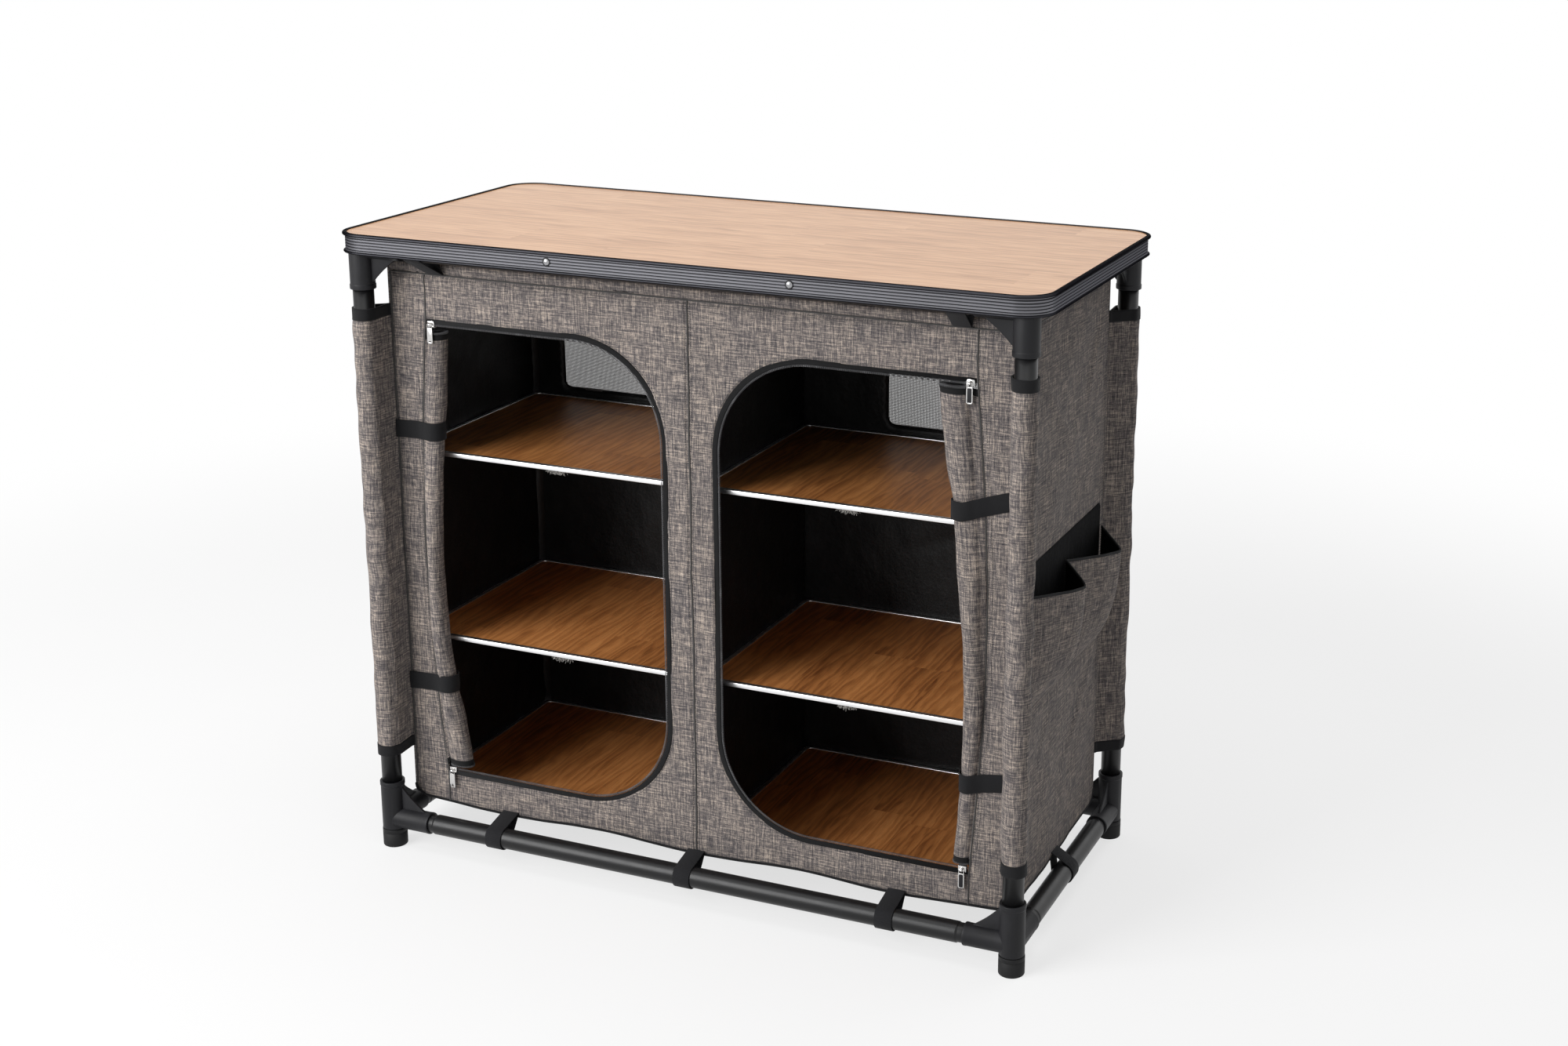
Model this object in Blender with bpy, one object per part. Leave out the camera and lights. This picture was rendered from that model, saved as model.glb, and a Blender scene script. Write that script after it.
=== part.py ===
"""Chuck box: a tube stand with a lift-off tabletop and a fabric cupboard hung inside it.

Four legs and eight rails plug into eight gusseted three-way connectors. The tabletop
is a thin board in a ribbed edge rail, with four saddles that drop over the top rails.
The cupboard is sewn cloth with six stiff shelves, two zipped doors that are rolled
aside, and two bellows pockets on its right side. Sizes are in metres, +Z is up, the
front faces -Y, and the origin is on the floor under the middle of the stand.
"""

import math

import bmesh
import bpy
from mathutils import Vector

# Clearance between pieces that touch, and how far a cutter runs past what it cuts.
FIT_GAP = 0.0003
OVERRUN = 0.002
MERGE_DISTANCE = 0.000003

# Tabletop board and its edge rail.
TABLE_LENGTH = 1.000
TABLE_DEPTH = 0.4772
TABLE_HEIGHT = 0.889
TABLE_CORNER = 0.044
BOARD_THICKNESS = 0.003
RIM_HEIGHT = 0.0274
RIM_LIP_WIDTH = 0.006
RIM_LIP_THICKNESS = 0.001
RIM_WALL = 0.0012
RIM_BEAD_REACH = 0.0035
RIM_TOP_BEAD = 0.0045
RIM_BOTTOM_BEAD = 0.0032
RIM_SOFT_EDGE = 0.0008
RIM_GROOVES = 5
RIM_GROOVE_DEPTH = 0.0007
RIM_GROOVE_WIDTH = 0.0014

# Saddles under the board that drop over the front and rear top rails.
SADDLE_OFFSET = 0.170
SADDLE_LENGTH = 0.030
SADDLE_SKIRT = 0.004
SADDLE_WALL = 0.0015

# Tube frame.
LEG_INSET_X = 0.032
LEG_INSET_Y = 0.0256
TUBE_DIAMETER = 0.028
TUBE_WALL = 0.0012
NECK_DIAMETER = 0.0258
NECK_SHOWN = 0.008
NECK_SHOULDER = 0.002
RAIL_HEIGHT = 0.042

# Three-way connector.
SOCKET_DIAMETER = 0.0334
SOCKET_REACH = 0.057
SOCKET_SEAT = 0.004
COLLAR_WIDTH = 0.006
COLLAR_STEP = 0.0007
ARM_DIAMETER = 0.031
ARM_REACH = 0.064
ARM_PLUG_DEPTH = 0.040
GUSSET_THICKNESS = 0.004
GUSSET_RUN = 0.036
GUSSET_DROP = 0.009

# Levelling foot.
FOOT_DIAMETER = 0.0344
FOOT_CHAMFER = 0.0015
FOOT_GROOVE_DROP = 0.006
FOOT_GROOVE_WIDTH = 0.0014
FOOT_GROOVE_DEPTH = 0.0006
STUD_DIAMETER = 0.010
STUD_LENGTH = 0.030

# Cloth body of the cupboard. It hangs inside the legs, a step in from their axes.
CLOTH = 0.002
BODY_STEP_X = 0.0155
BODY_STEP_Y = 0.034
BODY_TOP_DROP = 0.043
BODY_BOTTOM = 0.060
BODY_SIDE_BOTTOM = 0.064
BODY_CORNER = 0.018
ROOF_DROP = 0.055
FLOOR_HEIGHT = 0.068

# Sleeves that hold the cloth body to the legs.
SLEEVE_TOP_DROP = 0.104
SLEEVE_BOTTOM = 0.142
SLEEVE_SLACK = 0.0016
SLEEVE_THICKNESS = 0.0015
SLEEVE_SEAM = 0.004
SLEEVE_FOLD = 0.0024
SLEEVE_FOLDS = 3
SLEEVE_DRIFT_SHARE = 0.8
BINDING_WIDTH = 0.016
BINDING_THICKNESS = 0.0008

# Door openings, each a D with its round corners at the middle of the stand.
DOOR_INNER = 0.0315
DOOR_STILE = 0.0585
DOOR_TOP_DROP = 0.062
DOOR_BOTTOM = 0.105
DOOR_CORNER = 0.140
DOOR_BOW = 0.018

# Zip round each opening.
ZIP_TAPE_WIDTH = 0.0085
ZIP_TAPE_THICKNESS = 0.0012
ZIP_COIL = 0.003

# Zip slider and the pull that hangs from its bridge.
SLIDER_LENGTH = 0.011
SLIDER_PLATE = 0.001
SLIDER_WEB = 0.0012
SLIDER_REACH = 0.006
SLIDER_PARK = 0.002
BRIDGE_WIDTH = 0.003
BRIDGE_STANDOFF = 0.003
BRIDGE_BORE = 0.0022
BRIDGE_WALL = 0.001
PULL_LENGTH = 0.026
PULL_WIDTH = 0.007
PULL_THICKNESS = 0.0012
PULL_CORNER = 0.002
PULL_LIMB = 0.0013
PULL_SLOT = 0.004
PULL_HOLE_LENGTH = 0.0018
PULL_HOLE_WIDTH = 0.0036
PULL_HOLE_RISE = 0.002
PULL_HOLE_ROUND_SHARE = 0.9

# Rolled doors, tied back beside their openings.
ROLL_DIAMETER = 0.028
ROLL_TOP_DROP = 0.026
ROLL_BOTTOM_RISE = 0.016
ROLL_SETBACK = 0.011
ROLL_FORWARD_BOW = 0.010
TIE_THICKNESS = 0.0012
TIE_WIDTH = 0.025
TIE_TOP_DROP = 0.164
TIE_BOTTOM_RISE = 0.133
TIE_END_INSET = 0.005

# Shelves with an edge strip that stands proud of the board.
SHELF_SETBACK = 0.019
SHELF_CORNER = 0.014
SHELF_THICKNESS = 0.0065
SHELF_EDGE_WIDTH = 0.007
SHELF_EDGE_STEP = 0.001
SHELF_STEP_SLOPE = 0.0003
SHELF_FACE_TILT_SHARE = 0.5
SHELF_UPPER_DROP = 0.255
SHELF_MIDDLE_RISE = 0.242

# Thin net windows in the rear wall.
WINDOW_INNER = 0.129
WINDOW_STILE = 0.0525
WINDOW_SILL = 0.011
WINDOW_TOP_DROP = 0.089
WINDOW_CORNER = 0.020
NET_THICKNESS = 0.0008

# Bellows pockets on the right side.
POCKET_FRONT_INSET = 0.029
POCKET_REAR_INSET = 0.014
POCKET_COUNT = 2
POCKET_MOUTH_DROP = 0.347
POCKET_HEIGHT = 0.162
POCKET_DIP = 0.016
POCKET_DEPTH = 0.044
POCKET_CLOTH = 0.0015
POCKET_FOLD_SHARE = 0.7
POCKET_FOOT_SHARE = 0.14
POCKET_FOOT_DEPTH_SHARE = 0.36
POCKET_CROWN_SHARE = 0.12
POCKET_COLUMN_SHARES = (0, 0.2, 0.4, 0.55, POCKET_FOLD_SHARE, 0.85)
POCKET_ROW_SHARES = (0, POCKET_FOOT_SHARE / 2, POCKET_FOOT_SHARE, 0.4, 0.7, 1)

# Webbing loops that hold the cloth body down to the bottom rails.
STRAP_WIDTH = 0.025
STRAP_THICKNESS = 0.0013
STRAP_END_INSET = 0.1575

# Facets of round forms, and the angles past which an edge stays sharp.
ROUND_STEPS = 16
CORNER_STEPS = 3
HOLE_STEPS = 2
RIM_CORNER_STEPS = 4
LOOP_STEPS = 8
SLEEVE_STEPS = 18
SLEEVE_LEVELS = 7
DOOR_CORNER_STEPS = 6
BOW_STEPS = 8
ROLL_STEPS = 8
ROLL_SIDES = 10
SMOOTH_ANGLE = math.radians(35)
ROLL_SMOOTH_ANGLE = math.radians(40)

# Sizes that follow from the ones above.
TUBE_RADIUS = TUBE_DIAMETER / 2
ARM_RADIUS = ARM_DIAMETER / 2
SOCKET_RADIUS = SOCKET_DIAMETER / 2
LEG_X = TABLE_LENGTH / 2 - LEG_INSET_X
LEG_Y = TABLE_DEPTH / 2 - LEG_INSET_Y
RIM_INSET = RIM_BEAD_REACH + RIM_WALL
BOARD_TOP = TABLE_HEIGHT - RIM_LIP_THICKNESS - FIT_GAP
BOARD_BOTTOM = BOARD_TOP - BOARD_THICKNESS
TOP_RAIL_HEIGHT = BOARD_BOTTOM - FIT_GAP - ARM_RADIUS
ARM_PLUG_END = ARM_REACH - ARM_PLUG_DEPTH
BODY_X = LEG_X - BODY_STEP_X
BODY_Y = LEG_Y - BODY_STEP_Y
BODY_TOP = TABLE_HEIGHT - BODY_TOP_DROP
ROOF_HEIGHT = TABLE_HEIGHT - ROOF_DROP
SLEEVE_TOP = TABLE_HEIGHT - SLEEVE_TOP_DROP
DOOR_OUTER = BODY_X - DOOR_STILE
DOOR_TOP = ROOF_HEIGHT - DOOR_TOP_DROP
ROLL_TOP = DOOR_TOP - ROLL_TOP_DROP
ROLL_BOTTOM = DOOR_BOTTOM + ROLL_BOTTOM_RISE
TIE_HEIGHTS = (DOOR_BOTTOM + TIE_BOTTOM_RISE, DOOR_TOP - TIE_TOP_DROP)
SHELF_FRONT = BODY_Y - SHELF_SETBACK
SHELF_UPPER = ROOF_HEIGHT - SHELF_UPPER_DROP
SHELF_MIDDLE = FLOOR_HEIGHT + SHELF_MIDDLE_RISE
SHELF_LOWER = FLOOR_HEIGHT + FIT_GAP + SHELF_THICKNESS
SHELF_TOPS = {"upper": SHELF_UPPER, "middle": SHELF_MIDDLE, "lower": SHELF_LOWER}
WINDOW_OUTER = BODY_X - WINDOW_STILE
WINDOW_BOTTOM = SHELF_UPPER + WINDOW_SILL
WINDOW_TOP = ROOF_HEIGHT - WINDOW_TOP_DROP
POCKET_FRONT = POCKET_FRONT_INSET - BODY_Y
POCKET_WIDTH = (2 * BODY_Y - POCKET_FRONT_INSET - POCKET_REAR_INSET) / POCKET_COUNT
POCKET_MOUTH = ROOF_HEIGHT - POCKET_MOUTH_DROP
POCKET_BOTTOM = POCKET_MOUTH - POCKET_HEIGHT
STRAP_SPACING = BODY_X - STRAP_END_INSET
INNER_X = BODY_X - CLOTH - FIT_GAP
INNER_Y = BODY_Y - CLOTH - FIT_GAP
ZIP_PLANE = -BODY_Y + CLOTH / 2
ZIP_WIDTH = FIT_GAP + ZIP_TAPE_WIDTH + ZIP_COIL
COIL_INSET = ZIP_WIDTH - ZIP_COIL / 2
ROLL_RADIUS = ROLL_DIAMETER / 2
SIDES = {"left": -1, "right": 1}
ENDS = {"front": -1, "rear": 1}
QUARTER_TURNS = {"left_front": 0, "right_front": 1, "right_rear": 2, "left_rear": 3}


def level(u, v, w):
    """Drawing plane seen from above, with w upward."""
    return Vector((u, v, w))


def upright(u, v, w):
    """Drawing plane seen from the front, with w to the rear."""
    return Vector((u, w, v))


def sideways(u, v, w):
    """Drawing plane seen from the right, with w to the right."""
    return Vector((w, u, v))


def paint(name, colour, roughness, metallic=0.0):
    """Principled material of one colour."""
    surface = bpy.data.materials.new(name)
    surface.use_nodes = True
    shader = surface.node_tree.nodes["Principled BSDF"]
    shader.inputs["Base Color"].default_value = (*colour, 1.0)
    shader.inputs["Roughness"].default_value = roughness
    shader.inputs["Metallic"].default_value = metallic
    surface.diffuse_color = (*colour, 1.0)
    return surface


def finished_mesh(name, form, smooth_angle=None):
    """Turn a bmesh into a mesh with its faces pointing out."""
    bmesh.ops.recalc_face_normals(form, faces=form.faces[:])
    mesh = bpy.data.meshes.new(name)
    form.to_mesh(mesh)
    form.free()
    if smooth_angle is not None:
        soften(mesh, smooth_angle)
    return mesh


def soften(mesh, angle=SMOOTH_ANGLE):
    """Shade a mesh smooth but keep edges sharper than the angle."""
    mesh.shade_smooth()
    mesh.set_sharp_from_angle(angle=angle)


def add_piece(name, mesh, surface, location=(0, 0, 0), rotation=(0, 0, 0), parent=None):
    """Place a named object that shows the mesh in the given material."""
    piece = bpy.data.objects.new(name, mesh)
    piece.location = location
    piece.rotation_euler = rotation
    piece.parent = parent
    if not mesh.materials:
        mesh.materials.append(surface)
    bpy.context.scene.collection.objects.link(piece)
    return piece


def prism(name, outline, depth, plane, start=0.0, holes=()):
    """Flat outline with holes, drawn in a plane and extruded by the depth."""
    form = bmesh.new()
    for loop in (outline, *holes):
        corners = [form.verts.new(plane(u, v, start)) for u, v in loop]
        for corner, following in zip(corners, corners[1:] + corners[:1]):
            form.edges.new((corner, following))
    bmesh.ops.triangle_fill(form, edges=form.edges[:], use_beauty=True)
    sheet = bmesh.ops.extrude_face_region(form, geom=form.faces[:])
    moved = [item for item in sheet["geom"] if isinstance(item, bmesh.types.BMVert)]
    bmesh.ops.translate(form, verts=moved, vec=plane(0, 0, depth))
    return finished_mesh(name, form)


def turned(name, profile, steps=ROUND_STEPS):
    """Solid turned round Z from a closed loop of (radius, height) points."""
    form = bmesh.new()
    points = [form.verts.new((radius, 0, height)) for radius, height in profile]
    for point, following in zip(points, points[1:] + points[:1]):
        form.edges.new((point, following))
    bmesh.ops.spin(form, geom=form.verts[:] + form.edges[:], cent=(0, 0, 0), axis=(0, 0, 1),
                   angle=math.tau, steps=steps, use_merge=True)
    bmesh.ops.remove_doubles(form, verts=form.verts[:], dist=MERGE_DISTANCE)
    mesh = finished_mesh(name, form)
    soften(mesh)
    return mesh


def swept(name, stations, profile, plane, closed):
    """Profile of (outward, across) points carried along stations of (point, outward)."""
    form = bmesh.new()
    rings = []
    for (u, v), (out_u, out_v) in stations:
        rings.append([form.verts.new(plane(u + out * out_u, v + out * out_v, across))
                      for out, across in profile])
    skin(form, rings, closed)
    return finished_mesh(name, form, SMOOTH_ANGLE)


def skin(form, rings, closed):
    """Cover rings of as many vertices each, and cap the ends unless the run is closed."""
    pairs = list(zip(rings, rings[1:] + rings[:1])) if closed else list(zip(rings, rings[1:]))
    for ring, following in pairs:
        for index in range(len(ring)):
            after = (index + 1) % len(ring)
            form.faces.new((ring[index], ring[after], following[after], following[index]))
    if not closed:
        form.faces.new(rings[0])
        form.faces.new(rings[-1])


def combined(name, base, joined=(), cut=()):
    """Join meshes to a base, cut others from it, and return the mesh that is left."""
    body = bpy.data.objects.new(name, base)
    bpy.context.scene.collection.objects.link(body)
    helpers = []
    for operation, meshes in (("UNION", joined), ("DIFFERENCE", cut)):
        for mesh in meshes:
            helper = bpy.data.objects.new("helper", mesh)
            helper.display_type = "WIRE"
            helper.hide_render = True
            bpy.context.scene.collection.objects.link(helper)
            step = body.modifiers.new(operation.lower(), "BOOLEAN")
            step.operation = operation
            step.object = helper
            helpers.append(helper)
    evaluated = body.evaluated_get(bpy.context.evaluated_depsgraph_get())
    mesh = bpy.data.meshes.new_from_object(evaluated)
    mesh.name = name
    for item in (body, *helpers):
        bpy.data.objects.remove(item)
    mesh.materials.clear()
    soften(mesh)
    return mesh


def moved_mesh(mesh, matrix):
    """Copy of a mesh after a move or a turn."""
    copy = mesh.copy()
    copy.transform(matrix)
    return copy


def arc(centre_u, centre_v, radius, start, sweep, steps):
    """Points on an arc, with angles in degrees."""
    angles = [math.radians(start + sweep * step / steps) for step in range(steps + 1)]
    return [(centre_u + radius * math.cos(angle), centre_v + radius * math.sin(angle))
            for angle in angles]


def rounded_rectangle(low_u, low_v, high_u, high_v, radius, steps=CORNER_STEPS):
    """Rectangle between two corners with rounded corners."""
    outline = []
    centres = ((high_u - radius, high_v - radius), (low_u + radius, high_v - radius),
               (low_u + radius, low_v + radius), (high_u - radius, low_v + radius))
    for quarter, (centre_u, centre_v) in enumerate(centres):
        outline += arc(centre_u, centre_v, radius, 90 * quarter, 90, steps)
    return outline


def teardrop(centre, radius, apex, steps=LOOP_STEPS):
    """Loop drawn outside a circle and brought together at an apex beyond it."""
    offset_u = apex[0] - centre[0]
    offset_v = apex[1] - centre[1]
    heading = math.degrees(math.atan2(offset_v, offset_u))
    half = math.degrees(math.acos(radius / math.hypot(offset_u, offset_v)))
    sweep = 360 - 2 * half
    corner_radius = radius / math.cos(math.radians(sweep / steps / 2))
    return arc(*centre, corner_radius, heading + half, sweep, steps) + [apex]


def cloth_loop(name, centre, inner_radius, thickness, seam, apex, width, plane, start):
    """Band of cloth that goes round a tube and is sewn together at an apex."""
    reach = math.hypot(apex[0] - centre[0], apex[1] - centre[1])
    inner_apex = tuple(end + (middle - end) * seam / reach for end, middle in zip(apex, centre))
    outer = teardrop(centre, inner_radius + thickness, apex)
    inner = teardrop(centre, inner_radius, inner_apex)
    return prism(name, outer, width, plane, start, holes=[inner])


def connector_mesh():
    """Socket for a leg with arms along +X and +Y, webbed by two gussets."""
    base = -ARM_RADIUS
    leg_bore = TUBE_RADIUS + FIT_GAP
    plug_bore = NECK_DIAMETER / 2 + FIT_GAP
    stud_bore = STUD_DIAMETER / 2 + FIT_GAP
    collar = SOCKET_RADIUS + COLLAR_STEP
    collar_start = SOCKET_REACH - COLLAR_WIDTH
    socket = turned("socket", [
        (0, base), (SOCKET_RADIUS, base), (SOCKET_RADIUS, collar_start - COLLAR_STEP),
        (collar, collar_start), (collar, SOCKET_REACH), (0, SOCKET_REACH)])
    arm = turned("arm", [(0, 0), (ARM_RADIUS, 0), (ARM_RADIUS, ARM_REACH), (0, ARM_REACH)])
    plug = turned("plug", [
        (0, ARM_PLUG_END), (plug_bore, ARM_PLUG_END),
        (plug_bore, ARM_REACH + OVERRUN), (0, ARM_REACH + OVERRUN)])
    bore = turned("bore", [
        (0, SOCKET_SEAT), (leg_bore, SOCKET_SEAT),
        (leg_bore, SOCKET_REACH + OVERRUN), (0, SOCKET_REACH + OVERRUN)])
    stud_hole = turned("stud_hole", [
        (0, base - OVERRUN), (stud_bore, base - OVERRUN),
        (stud_bore, SOCKET_SEAT + OVERRUN), (0, SOCKET_SEAT + OVERRUN)])
    web = [(0, 0), (SOCKET_RADIUS + GUSSET_RUN, 0), (SOCKET_RADIUS + GUSSET_RUN, ARM_RADIUS - FIT_GAP),
           (SOCKET_RADIUS - FIT_GAP, SOCKET_REACH - GUSSET_DROP), (0, SOCKET_REACH - GUSSET_DROP)]
    half_web = GUSSET_THICKNESS / 2
    toward_x = Vector((0, 0, 1)).rotation_difference(Vector((1, 0, 0))).to_matrix().to_4x4()
    toward_y = Vector((0, 0, 1)).rotation_difference(Vector((0, 1, 0))).to_matrix().to_4x4()
    return combined(
        "connector", socket,
        joined=[moved_mesh(arm, toward_x), moved_mesh(arm, toward_y),
                prism("web_x", web, GUSSET_THICKNESS, upright, -half_web),
                prism("web_y", web, GUSSET_THICKNESS, sideways, -half_web)],
        cut=[bore, stud_hole, moved_mesh(plug, toward_x), moved_mesh(plug, toward_y)])


def rail_mesh(name, reach):
    """Tube between two connectors, each a reach from its middle, swaged at both ends."""
    half = reach - ARM_PLUG_END - FIT_GAP
    neck_end = reach - ARM_REACH - NECK_SHOWN
    shoulder = neck_end - NECK_SHOULDER
    neck = NECK_DIAMETER / 2
    bore = neck - TUBE_WALL
    return turned(name, [
        (bore, -half), (neck, -half), (neck, -neck_end), (TUBE_RADIUS, -shoulder),
        (TUBE_RADIUS, shoulder), (neck, neck_end), (neck, half), (bore, half)])


def build_frame(plastic, metal):
    """Legs, rails, connectors and levelling feet."""
    connector = connector_mesh()
    leg_start = RAIL_HEIGHT + SOCKET_SEAT + FIT_GAP
    leg_end = TOP_RAIL_HEIGHT - SOCKET_SEAT - FIT_GAP
    leg = turned("leg", [(TUBE_RADIUS - TUBE_WALL, leg_start), (TUBE_RADIUS, leg_start),
                         (TUBE_RADIUS, leg_end), (TUBE_RADIUS - TUBE_WALL, leg_end)])
    foot = foot_mesh()
    for side, sign_x in SIDES.items():
        for end, sign_y in ENDS.items():
            corner = f"{side}_{end}"
            x, y = sign_x * LEG_X, sign_y * LEG_Y
            turn = QUARTER_TURNS[corner] * math.pi / 2
            add_piece(f"leg_{corner}", leg, metal, (x, y, 0))
            add_piece(f"bottom_connector_{corner}", connector, plastic,
                      (x, y, RAIL_HEIGHT), (0, 0, turn))
            add_piece(f"top_connector_{corner}", connector, plastic,
                      (x, y, TOP_RAIL_HEIGHT), (math.pi, 0, turn + math.pi / 2))
            add_piece(f"foot_{corner}", foot, plastic, (x, y, RAIL_HEIGHT - ARM_RADIUS))
    long_rail = rail_mesh("long_rail", LEG_X)
    short_rail = rail_mesh("short_rail", LEG_Y)
    for height_name, height in (("bottom", RAIL_HEIGHT), ("top", TOP_RAIL_HEIGHT)):
        for end, sign in ENDS.items():
            add_piece(f"{height_name}_rail_{end}", long_rail, metal,
                      (0, sign * LEG_Y, height), (0, math.pi / 2, 0))
        for side, sign in SIDES.items():
            add_piece(f"{height_name}_rail_{side}", short_rail, metal,
                      (sign * LEG_X, 0, height), (math.pi / 2, 0, 0))


def foot_mesh():
    """Levelling foot with a grip groove and a stud, drawn down from its seat."""
    top = -FIT_GAP
    floor = ARM_RADIUS - RAIL_HEIGHT
    rim = FOOT_DIAMETER / 2
    stud = STUD_DIAMETER / 2
    groove = top - FOOT_GROOVE_DROP
    return turned("foot", [
        (0, floor), (rim - FOOT_CHAMFER, floor), (rim, floor + FOOT_CHAMFER),
        (rim, groove - FOOT_GROOVE_WIDTH / 2), (rim - FOOT_GROOVE_DEPTH, groove),
        (rim, groove + FOOT_GROOVE_WIDTH / 2), (rim, top), (stud, top), (stud, top + STUD_LENGTH),
        (0, top + STUD_LENGTH)])


def rim_profile():
    """Cross-section of the edge rail as (outward, height) points, seen from outside."""
    top = TABLE_HEIGHT
    bottom = top - RIM_HEIGHT
    face = -RIM_BEAD_REACH
    ribs_top = top - RIM_TOP_BEAD
    ribs_bottom = bottom + RIM_BOTTOM_BEAD
    pitch = (ribs_top - ribs_bottom) / RIM_GROOVES
    profile = [(-RIM_LIP_WIDTH, top), (-RIM_SOFT_EDGE, top), (0, top - RIM_SOFT_EDGE),
               (0, ribs_top + RIM_SOFT_EDGE), (face, ribs_top)]
    for groove in range(RIM_GROOVES):
        middle = ribs_top - pitch / 2 - pitch * groove
        profile += [(face, middle + RIM_GROOVE_WIDTH / 2), (face - RIM_GROOVE_DEPTH, middle),
                    (face, middle - RIM_GROOVE_WIDTH / 2)]
    profile += [(face, ribs_bottom), (-RIM_SOFT_EDGE, ribs_bottom - RIM_SOFT_EDGE),
                (-RIM_SOFT_EDGE, bottom + RIM_SOFT_EDGE), (-2 * RIM_SOFT_EDGE, bottom),
                (-RIM_INSET, bottom), (-RIM_INSET, top - RIM_LIP_THICKNESS),
                (-RIM_LIP_WIDTH, top - RIM_LIP_THICKNESS)]
    return profile


def saddle_mesh(sign_x, sign_y):
    """Half pipe over a top rail, joined to the inside of the edge rail."""
    bore = TUBE_RADIUS + FIT_GAP
    top = BOARD_BOTTOM - FIT_GAP
    bottom = TOP_RAIL_HEIGHT - SADDLE_SKIRT
    wall = TABLE_DEPTH / 2 - RIM_INSET + RIM_WALL / 2
    inner = LEG_Y - bore - SADDLE_WALL
    outline = [(wall, top), (wall, bottom), (LEG_Y + bore, bottom)]
    outline += arc(LEG_Y, TOP_RAIL_HEIGHT, bore, 0, 180, ROUND_STEPS // 2)
    outline += [(LEG_Y - bore, bottom), (inner, bottom), (inner, top)]
    outline = [(sign_y * across, height) for across, height in outline]
    start = sign_x * SADDLE_OFFSET - SADDLE_LENGTH / 2
    return prism("saddle", outline, SADDLE_LENGTH, sideways, start)


def build_tabletop(laminate, rail_metal):
    """Board and ribbed edge rail with its saddles; it lifts straight off the frame."""
    tabletop = bpy.data.objects.new("tabletop", None)
    bpy.context.scene.collection.objects.link(tabletop)
    half_x, half_y = TABLE_LENGTH / 2, TABLE_DEPTH / 2
    stations = []
    for quarter, (sign_x, sign_y) in enumerate(((1, 1), (-1, 1), (-1, -1), (1, -1))):
        centre = (sign_x * (half_x - TABLE_CORNER), sign_y * (half_y - TABLE_CORNER))
        for point in arc(*centre, TABLE_CORNER, 90 * quarter, 90, RIM_CORNER_STEPS):
            outward = [(end - middle) / TABLE_CORNER for end, middle in zip(point, centre)]
            stations.append((point, outward))
    ring = swept("rim_ring", stations, rim_profile(), level, closed=True)
    saddles = [saddle_mesh(sign_x, sign_y) for sign_x in SIDES.values() for sign_y in ENDS.values()]
    add_piece("table_rim", combined("table_rim", ring, joined=saddles), rail_metal, parent=tabletop)
    inset = RIM_INSET + FIT_GAP
    outline = rounded_rectangle(inset - half_x, inset - half_y, half_x - inset, half_y - inset,
                                TABLE_CORNER - inset, RIM_CORNER_STEPS)
    board = prism("table_panel", outline, BOARD_THICKNESS, level, BOARD_BOTTOM)
    add_piece("table_panel", board, laminate, parent=tabletop)


def door_bow(height):
    """How far the hinge seam of a tied-back door bows outward at a height."""
    return DOOR_BOW * math.sin(math.pi * (height - DOOR_BOTTOM) / (DOOR_TOP - DOOR_BOTTOM))


def door_track():
    """Stations round the zipped edge of the right opening, pointing out of the opening."""
    middle = DOOR_INNER + DOOR_CORNER
    end = DOOR_OUTER - FIT_GAP
    stations = [((end, DOOR_TOP), (0, 1))]
    for centre_v, start in ((DOOR_TOP - DOOR_CORNER, 90), (DOOR_BOTTOM + DOOR_CORNER, 180)):
        for u, v in arc(middle, centre_v, DOOR_CORNER, start, 90, DOOR_CORNER_STEPS):
            stations.append(((u, v), ((u - middle) / DOOR_CORNER, (v - centre_v) / DOOR_CORNER)))
    stations.append(((end, DOOR_BOTTOM), (0, -1)))
    return stations


def door_outline():
    """Edge of the right door opening, with a bowed hinge seam."""
    zipped = [(DOOR_OUTER, DOOR_TOP)] + [point for point, _ in door_track()[1:-1]]
    heights = [DOOR_BOTTOM + (DOOR_TOP - DOOR_BOTTOM) * step / BOW_STEPS for step in range(BOW_STEPS)]
    return zipped + [(DOOR_OUTER + door_bow(height), height) for height in heights]


def mirrored(points, sign):
    """Outline on the right side, or its mirror image on the left."""
    return [(sign * u, v) for u, v in points]


def wall_outline(half, bottom, top):
    """Upright cloth wall with rounded bottom corners."""
    lower = arc(BODY_CORNER - half, bottom + BODY_CORNER, BODY_CORNER, 180, 90, CORNER_STEPS)
    lower += arc(half - BODY_CORNER, bottom + BODY_CORNER, BODY_CORNER, 270, 90, CORNER_STEPS)
    return lower + [(half, top), (-half, top)]


def rear_wall_mesh():
    """Rear wall with two windows, thinned from both faces to a net."""
    wall = prism("rear_wall", wall_outline(INNER_X, BODY_BOTTOM, BODY_TOP), CLOTH, upright, BODY_Y - CLOTH)
    recess = (CLOTH - NET_THICKNESS) / 2
    window = rounded_rectangle(WINDOW_INNER, WINDOW_BOTTOM, WINDOW_OUTER, WINDOW_TOP, WINDOW_CORNER)
    cuts = []
    for sign in SIDES.values():
        outline = mirrored(window, sign)
        cuts.append(prism("recess", outline, recess + OVERRUN, upright, BODY_Y - recess))
        cuts.append(prism("recess", outline, recess + OVERRUN, upright, BODY_Y - CLOTH - OVERRUN))
    return combined("panel_rear", wall, cut=cuts)


def sleeve_fold(around, up):
    """Swell of a sleeve's folds as a share of their depth, from shares round and up it."""
    wave = math.sin(math.pi * (SLEEVE_FOLDS * around + SLEEVE_DRIFT_SHARE * up)) ** 2
    return wave * math.sin(math.pi * around) * math.sin(math.pi * up)


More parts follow.
